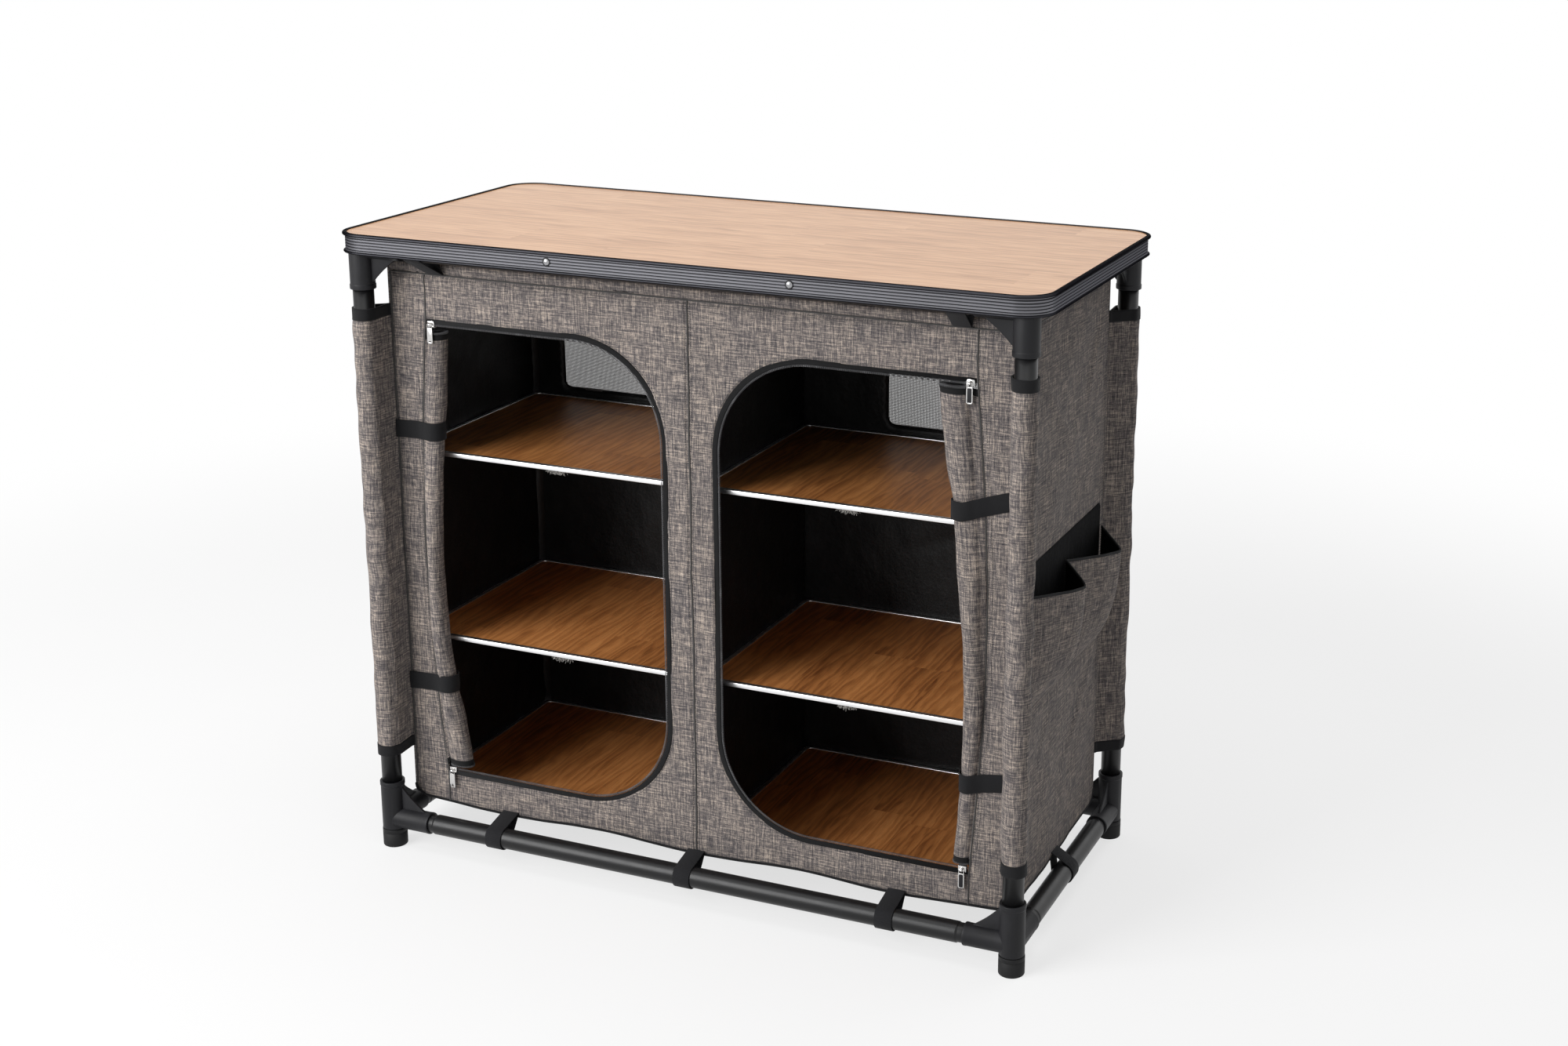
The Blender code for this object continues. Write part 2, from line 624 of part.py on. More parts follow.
def sleeve_ring(centre, radius, apex, height):
    """Points round a sleeve at a height, drawn out by its folds."""
    up = (height - SLEEVE_BOTTOM) / (SLEEVE_TOP - SLEEVE_BOTTOM)
    ring = []
    for step, (u, v) in enumerate(teardrop(centre, radius, apex, SLEEVE_STEPS)[:-1]):
        stretch = 1 + SLEEVE_FOLD * sleeve_fold(step / SLEEVE_STEPS, up) / radius
        ring.append((centre[0] + (u - centre[0]) * stretch, centre[1] + (v - centre[1]) * stretch, height))
    return ring + [(*apex, height)]


def sleeve_mesh(sign_x, sign_y):
    """Folded sleeve round a leg, sewn together at the body's corner and bound at both ends."""
    centre = (sign_x * LEG_X, sign_y * LEG_Y)
    apex = (sign_x * (BODY_X - CLOTH / 2), sign_y * (BODY_Y - CLOTH / 2))
    inner = TUBE_RADIUS + SLEEVE_SLACK
    outer = inner + SLEEVE_THICKNESS
    bound = outer + BINDING_THICKNESS
    seam = SLEEVE_SEAM / math.dist(centre, apex)
    inner_apex = tuple(end + (middle - end) * seam for end, middle in zip(apex, centre))
    low, high = SLEEVE_BOTTOM + BINDING_WIDTH, SLEEVE_TOP - BINDING_WIDTH
    levels = [low + (high - low) * step / SLEEVE_LEVELS for step in range(SLEEVE_LEVELS + 1)]
    rings = [(bound, apex, SLEEVE_BOTTOM), (bound, apex, low)]
    rings += [(outer, apex, height) for height in levels]
    rings += [(bound, apex, high), (bound, apex, SLEEVE_TOP)]
    rings += [(inner, inner_apex, height) for height in (SLEEVE_TOP, *reversed(levels), SLEEVE_BOTTOM)]
    form = bmesh.new()
    skin(form, [[form.verts.new(point) for point in sleeve_ring(centre, *ring)] for ring in rings], True)
    return finished_mesh("sleeve", form)


def side_wall_mesh(side):
    """Side wall with the two leg sleeves that are sewn to its upright edges."""
    sign = SIDES[side]
    start = sign * BODY_X - (CLOTH if sign > 0 else 0)
    wall = prism("side_wall", wall_outline(BODY_Y, BODY_SIDE_BOTTOM, BODY_TOP), CLOTH, sideways, start)
    return combined(f"panel_{side}", wall, joined=[sleeve_mesh(sign, end) for end in ENDS.values()])


def build_cloth_body(melange, lining):
    """Outer walls, roof, floor and middle wall of the cupboard."""
    holes = [mirrored(door_outline(), sign) for sign in SIDES.values()]
    front = prism("panel_front", wall_outline(INNER_X, BODY_BOTTOM, BODY_TOP), CLOTH, upright,
                  -BODY_Y, holes)
    add_piece("panel_front", front, melange)
    add_piece("panel_rear", rear_wall_mesh(), melange)
    for side in SIDES:
        add_piece(f"panel_{side}", side_wall_mesh(side), melange)
    inside = rounded_rectangle(-INNER_X, -INNER_Y, INNER_X, INNER_Y, SHELF_CORNER)
    add_piece("roof_panel", prism("roof", inside, CLOTH, level, ROOF_HEIGHT - CLOTH), lining)
    add_piece("floor_panel", prism("floor", inside, CLOTH, level, FLOOR_HEIGHT - CLOTH), lining)
    low, high = FLOOR_HEIGHT + FIT_GAP, ROOF_HEIGHT - CLOTH - FIT_GAP
    middle_wall = [(-INNER_Y, low), (INNER_Y, low), (INNER_Y, high), (-INNER_Y, high)]
    add_piece("divider", prism("divider", middle_wall, CLOTH, sideways, -CLOTH / 2), lining)


def shelf_mesh(sign):
    """Thin board whose edge strip is a step thicker than the board."""
    near, far = CLOTH / 2 + FIT_GAP, INNER_X
    low, high = sorted((sign * near, sign * far))
    outline = rounded_rectangle(low, -SHELF_FRONT, high, INNER_Y, SHELF_CORNER)
    form = bmesh.new()
    bottom = form.faces.new([form.verts.new((x, y, -SHELF_THICKNESS)) for x, y in outline])
    grown = bmesh.ops.extrude_face_region(form, geom=[bottom])
    lifted = [item for item in grown["geom"] if isinstance(item, bmesh.types.BMVert)]
    bmesh.ops.translate(form, verts=lifted, vec=(0, 0, SHELF_THICKNESS))
    bmesh.ops.recalc_face_normals(form, faces=form.faces[:])
    for face in [item for item in form.faces if abs(item.normal.z) > SHELF_FACE_TILT_SHARE]:
        bmesh.ops.inset_region(form, faces=[face], thickness=SHELF_EDGE_WIDTH, use_even_offset=True)
        bmesh.ops.inset_region(form, faces=[face], thickness=SHELF_STEP_SLOPE,
                               depth=-SHELF_EDGE_STEP, use_even_offset=True)
    return finished_mesh("shelf", form)


def build_shelves(wood):
    """Three boards on each side of the middle wall, the lowest on the cloth floor."""
    for side, sign in SIDES.items():
        mesh = shelf_mesh(sign)
        for name, top in SHELF_TOPS.items():
            add_piece(f"shelf_{side}_{name}", mesh, wood, (0, 0, top))


def zip_mesh(sign):
    """Tape along the cut edge of an opening, with the coil as a thicker bead."""
    tape = ZIP_TAPE_THICKNESS / 2
    coil = ZIP_COIL / 2
    tape_start, tape_end = -FIT_GAP, -FIT_GAP - ZIP_TAPE_WIDTH
    profile = [(tape_start, -tape), (tape_end, -tape), (tape_end, -coil), (-ZIP_WIDTH, -coil),
               (-ZIP_WIDTH, coil), (tape_end, coil), (tape_end, tape), (tape_start, tape)]
    profile = [(out, ZIP_PLANE + across) for out, across in profile]
    stations = [((sign * u, v), (sign * out_u, out_v)) for (u, v), (out_u, out_v) in door_track()]
    return swept("zip", stations, profile, upright, closed=False)


def slider_mesh(tape_side):
    """Slider that clasps the coil from its free edge and carries a bridge in front."""
    inner = ZIP_COIL / 2 + FIT_GAP
    outer = inner + SLIDER_PLATE
    free = -tape_side * (inner + SLIDER_WEB)
    reach = tape_side * SLIDER_REACH
    clasp = [(-outer, free), (outer, free), (outer, reach), (inner, reach), (inner, -tape_side * inner),
             (-inner, -tape_side * inner), (-inner, reach), (-outer, reach)]
    body = prism("slider", clasp, SLIDER_LENGTH, sideways, -SLIDER_LENGTH / 2)
    axis_y, axis_z = bridge_axis(tape_side)
    bore = BRIDGE_BORE / 2
    shell = bore + BRIDGE_WALL
    foot = -outer + SLIDER_PLATE / 2
    steps = ROUND_STEPS // 2
    bridge = [(foot, axis_z + shell)] + arc(axis_y, axis_z, shell, 90, 180, steps)
    bridge += [(foot, axis_z - shell), (foot, axis_z - bore)]
    bridge += arc(axis_y, axis_z, bore, 270, -180, steps) + [(foot, axis_z + bore)]
    return combined("zip_slider", body,
                    joined=[prism("bridge", bridge, BRIDGE_WIDTH, sideways, -BRIDGE_WIDTH / 2)])


def bridge_axis(tape_side):
    """Place of the pull's hinge axis in the slider's own side view."""
    inner = ZIP_COIL / 2 + FIT_GAP
    middle = tape_side * (SLIDER_REACH - inner - SLIDER_WEB) / 2
    return -(inner + SLIDER_PLATE + BRIDGE_STANDOFF), middle


def pull_mesh():
    """Flat pull that hangs from a bar through the bridge, with a hole near its end."""
    bar = PULL_THICKNESS / 2
    half = PULL_WIDTH / 2
    outline = [(half, bar), (-half, bar)]
    tip = PULL_CORNER - PULL_LENGTH
    outline += arc(PULL_CORNER - half, tip, PULL_CORNER, 180, 90, CORNER_STEPS)
    outline += arc(half - PULL_CORNER, tip, PULL_CORNER, 270, 90, CORNER_STEPS)
    slot_half = half - PULL_LIMB
    slot_end = -bar - PULL_SLOT
    slot = [(slot_half, -bar), (-slot_half, -bar), (-slot_half, slot_end), (slot_half, slot_end)]
    hole_low = PULL_HOLE_RISE - PULL_LENGTH
    hole_radius = PULL_HOLE_ROUND_SHARE * PULL_HOLE_LENGTH / 2
    hole = rounded_rectangle(-PULL_HOLE_WIDTH / 2, hole_low, PULL_HOLE_WIDTH / 2,
                             hole_low + PULL_HOLE_LENGTH, hole_radius, HOLE_STEPS)
    return prism("zip_pull", outline, PULL_THICKNESS, upright, -bar, [slot, hole])


def build_zips(tape, nickel):
    """Zips round both openings, with a slider and a pull at each end."""
    pull = pull_mesh()
    for side, sign in SIDES.items():
        add_piece(f"zip_{side}", zip_mesh(sign), tape)
        park = sign * (DOOR_OUTER - SLIDER_PARK - SLIDER_LENGTH / 2)
        for end, height, tape_side in (("top", DOOR_TOP - COIL_INSET, 1),
                                       ("bottom", DOOR_BOTTOM + COIL_INSET, -1)):
            slider = add_piece(f"zip_slider_{side}_{end}", slider_mesh(tape_side), nickel,
                               (park, ZIP_PLANE, height))
            axis_y, axis_z = bridge_axis(tape_side)
            add_piece(f"zip_pull_{side}_{end}", pull, nickel, (0, axis_y, axis_z), parent=slider)


def roll_axis(height):
    """Middle of a rolled door at a height, close beside the bowed hinge seam."""
    share = (ROLL_TOP - height) / (ROLL_TOP - ROLL_BOTTOM)
    y = ROLL_SETBACK - BODY_Y - ROLL_FORWARD_BOW * math.sin(math.pi * share)
    behind = max(0.0, y - (CLOTH - BODY_Y))
    reach = ROLL_RADIUS + TIE_THICKNESS + FIT_GAP
    return DOOR_OUTER + door_bow(height) - math.sqrt(reach ** 2 - behind ** 2) - FIT_GAP, y


def roll_stations():
    """Heights and radii up a rolled door, with a step out and back at each tie."""
    stations = [(ROLL_BOTTOM + (ROLL_TOP - ROLL_BOTTOM) * step / ROLL_STEPS, ROLL_RADIUS)
                for step in range(ROLL_STEPS + 1)]
    tied = ROLL_RADIUS + TIE_THICKNESS
    for middle in TIE_HEIGHTS:
        low, high = middle - TIE_WIDTH / 2, middle + TIE_WIDTH / 2
        below = [item for item in stations if item[0] < low - FIT_GAP]
        above = [item for item in stations if item[0] > high + FIT_GAP]
        stations = below + [(low, ROLL_RADIUS), (low, tied), (high, tied), (high, ROLL_RADIUS)] + above
    return stations


def tie_end_mesh(sign, height):
    """Flat end of a tie, from the roll to the corner seam over the face of the wall."""
    near, far = roll_axis(height)[0], BODY_X - TIE_END_INSET
    back = -BODY_Y - FIT_GAP
    outline = [(near, back - TIE_THICKNESS), (far, back - TIE_THICKNESS), (far, back), (near, back)]
    width = TIE_WIDTH - 2 * FIT_GAP
    return prism("tie_end", mirrored(outline, sign), width, level, height - width / 2)


def roll_mesh(sign):
    """Rolled door that follows its bowed hinge seam, girt by two ties."""
    form = bmesh.new()
    rings = []
    for height, radius in roll_stations():
        x, y = roll_axis(height)
        ring = arc(sign * x, y, radius, 0, 360, ROLL_SIDES)[:-1]
        rings.append([form.verts.new((u, v, height)) for u, v in ring])
    skin(form, rings, closed=False)
    roll = finished_mesh("rolled_door", form)
    tied = combined("rolled_door", roll, joined=[tie_end_mesh(sign, height) for height in TIE_HEIGHTS])
    soften(tied, ROLL_SMOOTH_ANGLE)
    return tied


def pocket_depth(across, up):
    """Bulge of one bellows pocket as a share of its depth, from shares of its face."""
    fold = across / POCKET_FOLD_SHARE if across < POCKET_FOLD_SHARE \
        else (1 - across) / (1 - POCKET_FOLD_SHARE)
    crown = 1 - (1 - fold) ** 2
    rounded = fold + POCKET_CROWN_SHARE * (crown - fold)
    if up < POCKET_FOOT_SHARE:
        rise = POCKET_FOOT_DEPTH_SHARE * up / POCKET_FOOT_SHARE
    else:
        climb = (up - POCKET_FOOT_SHARE) / (1 - POCKET_FOOT_SHARE)
        rise = POCKET_FOOT_DEPTH_SHARE + (1 - POCKET_FOOT_DEPTH_SHARE) * climb
    return rounded * rise


def pockets_mesh():
    """Row of bellows pockets that gape at the mouth, as one folded sheet."""
    form = bmesh.new()
    grid = []
    for pocket in range(POCKET_COUNT):
        for across in POCKET_COLUMN_SHARES:
            grid.append((pocket, across))
    grid.append((POCKET_COUNT - 1, 1))
    lines = []
    for pocket, across in grid:
        y = POCKET_FRONT + POCKET_WIDTH * (pocket + across)
        line = []
        for up in POCKET_ROW_SHARES:
            bulge = pocket_depth(across, up)
            mouth = POCKET_MOUTH - POCKET_DIP * pocket_depth(across, 1)
            z = POCKET_BOTTOM + (mouth - POCKET_BOTTOM) * up
            line.append(form.verts.new((BODY_X + FIT_GAP + POCKET_DEPTH * bulge, y, z)))
        lines.append(line)
    for line, following in zip(lines, lines[1:]):
        for row in range(len(POCKET_ROW_SHARES) - 1):
            form.faces.new((line[row], following[row], following[row + 1], line[row + 1]))
    return finished_mesh("side_pockets", form)


def build_pockets(melange):
    """Bellows pockets sewn to the outside of the right wall."""
    pockets = add_piece("side_pockets", pockets_mesh(), melange)
    thicken = pockets.modifiers.new("cloth", "SOLIDIFY")
    thicken.thickness = POCKET_CLOTH
    thicken.offset = 1.0
    thicken.use_even_offset = True


def build_straps(webbing):
    """Webbing loops from the bottom edge of the cloth body round the bottom rails."""
    bore = TUBE_RADIUS + FIT_GAP
    places = {"left": -STRAP_SPACING, "middle": 0.0, "right": STRAP_SPACING}
    for end, sign in ENDS.items():
        apex = (sign * (BODY_Y - CLOTH / 2), BODY_BOTTOM - FIT_GAP)
        for place, x in places.items():
            loop = cloth_loop("strap", (sign * LEG_Y, RAIL_HEIGHT), bore, STRAP_THICKNESS, SLEEVE_SEAM,
                              apex, STRAP_WIDTH, sideways, x - STRAP_WIDTH / 2)
            add_piece(f"strap_{end}_{place}", loop, webbing)
    for side, sign in SIDES.items():
        apex = (sign * (BODY_X - CLOTH / 2), BODY_SIDE_BOTTOM - FIT_GAP)
        loop = cloth_loop("strap", (sign * LEG_X, RAIL_HEIGHT), bore, STRAP_THICKNESS, SLEEVE_SEAM,
                          apex, STRAP_WIDTH, upright, -STRAP_WIDTH / 2)
        add_piece(f"strap_{side}", loop, webbing)


def main():
    """Clear the scene and build the whole stand."""
    for item in list(bpy.data.objects):
        bpy.data.objects.remove(item)
    black_plastic = paint("black_plastic", (0.028, 0.028, 0.031), 0.5)
    black_metal = paint("black_tube", (0.022, 0.022, 0.024), 0.32, 0.3)
    black_rail = paint("black_edge_rail", (0.03, 0.03, 0.033), 0.38, 0.7)
    laminate = paint("beech_laminate", (0.72, 0.47, 0.31), 0.3)
    wood = paint("brown_board", (0.36, 0.17, 0.07), 0.4)
    melange = paint("grey_melange_cloth", (0.18, 0.165, 0.15), 0.95)
    lining = paint("black_lining", (0.012, 0.012, 0.013), 0.8)
    webbing = paint("black_webbing", (0.018, 0.018, 0.02), 0.85)
    nickel = paint("nickel", (0.72, 0.71, 0.69), 0.25, 1.0)
    build_frame(black_plastic, black_metal)
    build_tabletop(laminate, black_rail)
    build_cloth_body(melange, lining)
    build_shelves(wood)
    build_zips(webbing, nickel)
    for side, sign in SIDES.items():
        add_piece(f"rolled_door_{side}", roll_mesh(sign), melange)
    build_pockets(melange)
    build_straps(webbing)


if __name__ == "__main__":
    main()
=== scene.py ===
"""Dresses a camp cupboard: cloth, zips, webbing, boards, tube stand and studio round its CAD frame."""

from __future__ import annotations

import logging
import math
from dataclasses import dataclass, field
from enum import Enum
from typing import Callable, Iterable, Sequence

import bmesh
import bpy
import numpy as np
from mathutils import Matrix, Vector
from mathutils.geometry import delaunay_2d_cdt


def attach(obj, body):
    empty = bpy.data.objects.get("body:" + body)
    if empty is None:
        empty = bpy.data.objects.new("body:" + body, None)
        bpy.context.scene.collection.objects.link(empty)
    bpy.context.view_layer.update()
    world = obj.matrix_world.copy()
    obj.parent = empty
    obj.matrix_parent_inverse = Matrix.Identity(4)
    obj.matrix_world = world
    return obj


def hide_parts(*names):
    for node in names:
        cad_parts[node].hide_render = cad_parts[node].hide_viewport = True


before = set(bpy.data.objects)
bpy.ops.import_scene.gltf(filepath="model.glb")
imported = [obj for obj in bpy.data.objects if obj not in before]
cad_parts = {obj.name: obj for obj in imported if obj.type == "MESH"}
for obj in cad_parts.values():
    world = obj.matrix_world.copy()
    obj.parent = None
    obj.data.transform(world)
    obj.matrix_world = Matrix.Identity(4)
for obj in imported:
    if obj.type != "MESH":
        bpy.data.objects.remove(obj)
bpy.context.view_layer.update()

LOG = logging.getLogger("camp_cupboard")
WEAVE_MAP = "weave"

Colour = tuple[float, float, float]
Flat = tuple[float, float]
Relief = Callable[[np.ndarray, np.ndarray], np.ndarray]
Curve = tuple[Sequence[float], Sequence[float]]


class Side(Enum):
    """Left and right of the cupboard, seen from its doors."""

    LEFT = -1
    RIGHT = 1

    @property
    def label(self) -> str:
        """Word for this side in node names."""
        return self.name.lower()


class End(Enum):
    """Front and rear of the cupboard."""

    FRONT = -1
    REAR = 1

    @property
    def label(self) -> str:
        """Word for this end in node names."""
        return self.name.lower()


class Level(Enum):
    """Bottom and top of the tube stand, or of a door opening."""

    BOTTOM = -1
    TOP = 1

    @property
    def label(self) -> str:
        """Word for this level in node names."""
        return self.name.lower()


class Shade:
    """A node socket that takes part in sums like a number."""

    def __init__(self, tree: "Nodes", socket: bpy.types.NodeSocket) -> None:
        """Remember the socket and the tree that it belongs to."""
        self.tree = tree
        self.socket = socket

    def _math(self, operation: str, *values: "Shade | float") -> "Shade":
        """Value of a Math node on these values."""
        return self.tree.node("ShaderNodeMath", {"operation": operation}, dict(enumerate(values)))

    def __add__(self, other: "Shade | float") -> "Shade":
        """Sum."""
        return self._math("ADD", self, other)

    def __sub__(self, other: "Shade | float") -> "Shade":
        """Difference."""
        return self._math("SUBTRACT", self, other)

    def __rsub__(self, other: float) -> "Shade":
        """Difference from a number."""
        return self._math("SUBTRACT", other, self)

    def __mul__(self, other: "Shade | float") -> "Shade":
        """Product."""
        return self._math("MULTIPLY", self, other)

    def __truediv__(self, other: float) -> "Shade":
        """Quotient."""
        return self._math("DIVIDE", self, other)

    __radd__ = __add__
    __rmul__ = __mul__

    def sine(self) -> "Shade":
        """Sine of the value in radians."""
        return self._math("SINE", self)

    def cosine(self) -> "Shade":
        """Cosine of the value in radians."""
        return self._math("COSINE", self)

    def floor(self) -> "Shade":
        """Whole part."""
        return self._math("FLOOR", self)

    def between(self, low: float, high: float) -> "Shade":
        """Share from 0 at the low value to 1 at the high one, with soft ends."""
        settings = {"interpolation_type": "SMOOTHSTEP"}
        return self.tree.node("ShaderNodeMapRange", settings, {0: self, 1: low, 2: high})


class Nodes:
    """A node tree that is built by one generic method."""

    def __init__(self, tree: bpy.types.NodeTree) -> None:
        """Start from an empty tree."""
        self.tree = tree
        self.tree.nodes.clear()

    def node(self, kind: str, settings: dict | None = None, inputs: dict | None = None,
             output: int | str = 0) -> Shade:
        """Add a node.

        Args:
            kind: The node's type.
            settings: Its own options, set first. Stops fills a colour ramp.
            inputs: Numbers, colours or shades for its sockets.
            output: Which of its outputs to return.

        Returns:
            The chosen output.
        """
        item = self.tree.nodes.new(kind)
        for key, value in (settings or {}).items():
            if key == "stops":
                self._fill_ramp(item.color_ramp, value)
            else:
                setattr(item, key, value)
        for key, value in (inputs or {}).items():
            if isinstance(value, Shade):
                self.tree.links.new(value.socket, item.inputs[key])
            else:
                item.inputs[key].default_value = value
        return Shade(self, item.outputs[output] if item.outputs else None)

    @staticmethod
    def _fill_ramp(ramp: bpy.types.ColorRamp, stops: Sequence[tuple[float, Colour]]) -> None:
        """Give a ramp its stops."""
        while len(ramp.elements) < len(stops):
            ramp.elements.new(1.0)
        for element, (position, colour) in zip(ramp.elements, stops):
            element.position = position
            element.color = (*colour, 1.0)

    def vector(self, operation: str, first: Shade, second: object, output: int | str = 0) -> Shade:
        """Vector Math on a shade and a shade or three numbers."""
        return self.node("ShaderNodeVectorMath", {"operation": operation}, {0: first, 1: second}, output)


class Paint(Nodes):
    """Shader tree of one material."""

    def __init__(self, name: str) -> None:
        """Make the material and empty its tree."""
        self.material = bpy.data.materials.new(name)
        self.material.use_nodes = True
        super().__init__(self.material.node_tree)

    def place(self) -> Shade:
        """Object coordinates in metres."""
        return self.node("ShaderNodeTexCoord", output="Object")

    def weave(self) -> Shade:
        """Coordinates along a cloth, in metres."""
        return self.node("ShaderNodeUVMap", {"uv_map": WEAVE_MAP})

    def part(self, vector: Shade, axis: str) -> Shade:
        """One coordinate of a vector."""
        return self.node("ShaderNodeSeparateXYZ", inputs={0: vector}, output=axis)

    def noise(self, vector: Shade, cell: tuple[float, float, float], detail: float = 2.0,
              roughness: float = 0.5) -> Shade:
        """Noise whose cells have these sizes in metres."""
        scaled = self.vector("DIVIDE", vector, cell)
        return self.node("ShaderNodeTexNoise", inputs={
            "Vector": scaled, "Scale": 1.0, "Detail": detail, "Roughness": roughness})

    def ramp(self, value: Shade, stops: Sequence[tuple[float, Colour]]) -> Shade:
        """Colour from a value."""
        return self.node("ShaderNodeValToRGB", {"stops": stops}, {0: value})

    def mix(self, share: Shade | float, first: object, second: object, blend: str = "MIX") -> Shade:
        """Mix of two colours."""
        colours = {0: share}
        for socket, colour in ((6, first), (7, second)):
            colours[socket] = colour if isinstance(colour, Shade) else (*colour, 1.0)
        return self.node("ShaderNodeMix", {"data_type": "RGBA", "blend_type": blend}, colours, 2)

    def bump(self, height: Shade, depth: float, strength: float = 1.0) -> Shade:
        """Normal from a height between 0 and 1 that stands for this depth in metres."""
        return self.node("ShaderNodeBump", inputs={
            "Strength": strength, "Distance": depth, "Height": height})

    def finish(self, **sockets: object) -> bpy.types.Material:
        """Close the tree with a Principled shader.

        Args:
            sockets: Principled inputs, with underscores for the spaces in their names.

        Returns:
            The material.
        """
        values = {}
        for key, value in sockets.items():
            values[key.replace("_", " ")] = (*value, 1.0) if isinstance(value, tuple) else value
        shader = self.node("ShaderNodeBsdfPrincipled", inputs=values)
        self.node("ShaderNodeOutputMaterial", inputs={"Surface": shader})
        return self.material


@dataclass(frozen=True)
class MelangeCloth:
    """Plain-woven cloth of mixed light and dark yarns."""

    name: str = "melange_cloth"
    dark: Colour = (0.026, 0.026, 0.033)
    middle: Colour = (0.135, 0.120, 0.116)
    light: Colour = (0.520, 0.440, 0.370)
    yarn: float = 0.0013
    slub: float = 0.008
    long_yarn: float = 0.0021
    long_slub: float = 0.032

    def make(self) -> bpy.types.Material:
        """Build the material."""
        paint = Paint(self.name)
        weave = paint.weave()
        warp = self._yarns(paint, weave, True)
        weft = self._yarns(paint, weave, False)
        over_u = (paint.part(weave, "X") * (math.pi / self.yarn)).sine()
        over_v = (paint.part(weave, "Y") * (math.pi / self.yarn)).sine()
        above = (over_u * over_v) * 0.5 + 0.5
        cloud = paint.noise(weave, (0.05, 0.05, 1.0), 3.0)
        seen = warp * 0.5 + weft * 0.5 + (above - 0.5) * (warp - weft) * 0.5
        yarns = paint.ramp(seen, [(0.35, self.dark), (0.49, self.middle), (0.66, self.light)])
        drift = paint.ramp(cloud, [(0.3, (0.90, 0.90, 0.92)), (0.7, (1.10, 1.08, 1.06))])
        tinted = paint.mix(1.0, yarns, drift, "MULTIPLY")
        height = above * 0.4 + warp * 0.3 + weft * 0.3
        return paint.finish(Base_Color=tinted, Roughness=warp * 0.2 + 0.78, Sheen_Weight=0.08,
                            Sheen_Roughness=0.5, Specular_IOR_Level=0.15,
                            Normal=paint.bump(height, 0.0005, 0.8))

    def _yarns(self, paint: Paint, weave: Shade, upright: bool) -> Shade:
        """Tone of the yarns that run one way, with short flecks and long slubs in them."""
        flecks, slubs = [(wide, long, 1.0) if upright else (long, wide, 1.0)
                         for wide, long in ((self.yarn, self.slub), (self.long_yarn, self.long_slub))]
        return paint.noise(weave, flecks, 2.0, 0.6) * 0.5 + paint.noise(weave, slubs, 1.0) * 0.5


@dataclass(frozen=True)
class Webbing:
    """Black woven tape with ribs across it."""

    name: str
    rib: float
    colour: Colour = (0.0095, 0.0095, 0.0110)
    worn: Colour = (0.021, 0.021, 0.024)

    def make(self) -> bpy.types.Material:
        """Build the material."""
        paint = Paint(self.name)
        weave = paint.weave()
        ribs = (paint.part(weave, "Y") * (math.tau / self.rib)).sine() * 0.5 + 0.5
        threads = (paint.part(weave, "X") * (math.tau / (self.rib / 2))).sine() * 0.5 + 0.5
        lint = paint.noise(weave, (self.rib * 2, self.rib * 2, 1.0), 4.0, 0.7)
        height = ribs * 0.6 + threads * 0.25 + lint * 0.15
        colour = paint.mix((ribs * lint).between(0.3, 0.8), self.colour, self.worn)
        return paint.finish(Base_Color=colour, Roughness=lint * 0.2 + 0.66, Sheen_Weight=0.05,
                            Specular_IOR_Level=0.16, Normal=paint.bump(height, 0.0004, 0.8))


@dataclass(frozen=True)
class CoatedLining:
    """Thin black coated lining, faintly creased and shiny."""

    name: str = "coated_lining"
    colour: Colour = (0.0065, 0.0065, 0.007)
    rubbed: Colour = (0.014, 0.014, 0.015)
    gloss: float = 0.40
    shine: float = 0.30

    def make(self) -> bpy.types.Material:
        """Build the material."""
        paint = Paint(self.name)
        place = paint.place()
        crinkle = paint.noise(place, (0.035, 0.035, 0.060), 5.0, 0.62)
        fine = paint.noise(place, (0.004, 0.004, 0.004), 2.0)
        colour = paint.mix(crinkle.between(0.45, 0.8), self.colour, self.rubbed)
        return paint.finish(Base_Color=colour, Roughness=fine * 0.2 + self.gloss,
                            Specular_IOR_Level=self.shine,
                            Normal=paint.bump(crinkle * 0.85 + fine * 0.15, 0.004, 0.6))


@dataclass(frozen=True)
class SatinPaint:
    """Black powder coat on the tubes."""

    name: str = "satin_tube_paint"
    colour: Colour = (0.0060, 0.0060, 0.0066)
    scuffed: Colour = (0.013, 0.013, 0.014)

    def make(self) -> bpy.types.Material:
        """Build the material."""
        paint = Paint(self.name)
        place = paint.place()
        peel = paint.noise(place, (0.0016, 0.0016, 0.0016), 2.0)
        scuffs = paint.noise(place, (0.030, 0.030, 0.090), 5.0, 0.7)
        colour = paint.mix(scuffs.between(0.52, 0.80), self.colour, self.scuffed)
        return paint.finish(Base_Color=colour, Roughness=scuffs * 0.20 + 0.26, Specular_IOR_Level=0.32,
                            Normal=paint.bump(peel, 0.00012, 0.35))


@dataclass(frozen=True)
class MouldedPlastic:
    """Black moulded plastic with a fine spark finish."""

    name: str
    colour: Colour = (0.0085, 0.0085, 0.0100)
    pale: Colour = (0.0150, 0.0150, 0.0175)
    gloss: float = 0.42

    def make(self) -> bpy.types.Material:
        """Build the material."""
        paint = Paint(self.name)
        place = paint.place()
        grain = paint.noise(place, (0.0007, 0.0007, 0.0007), 2.0)
        flow = paint.noise(place, (0.022, 0.022, 0.030), 4.0, 0.6)
        colour = paint.mix(flow.between(0.4, 0.85), self.colour, self.pale)
        return paint.finish(Base_Color=colour, Roughness=flow * 0.16 + self.gloss,
                            Specular_IOR_Level=0.24, Normal=paint.bump(grain, 0.00015, 0.5))


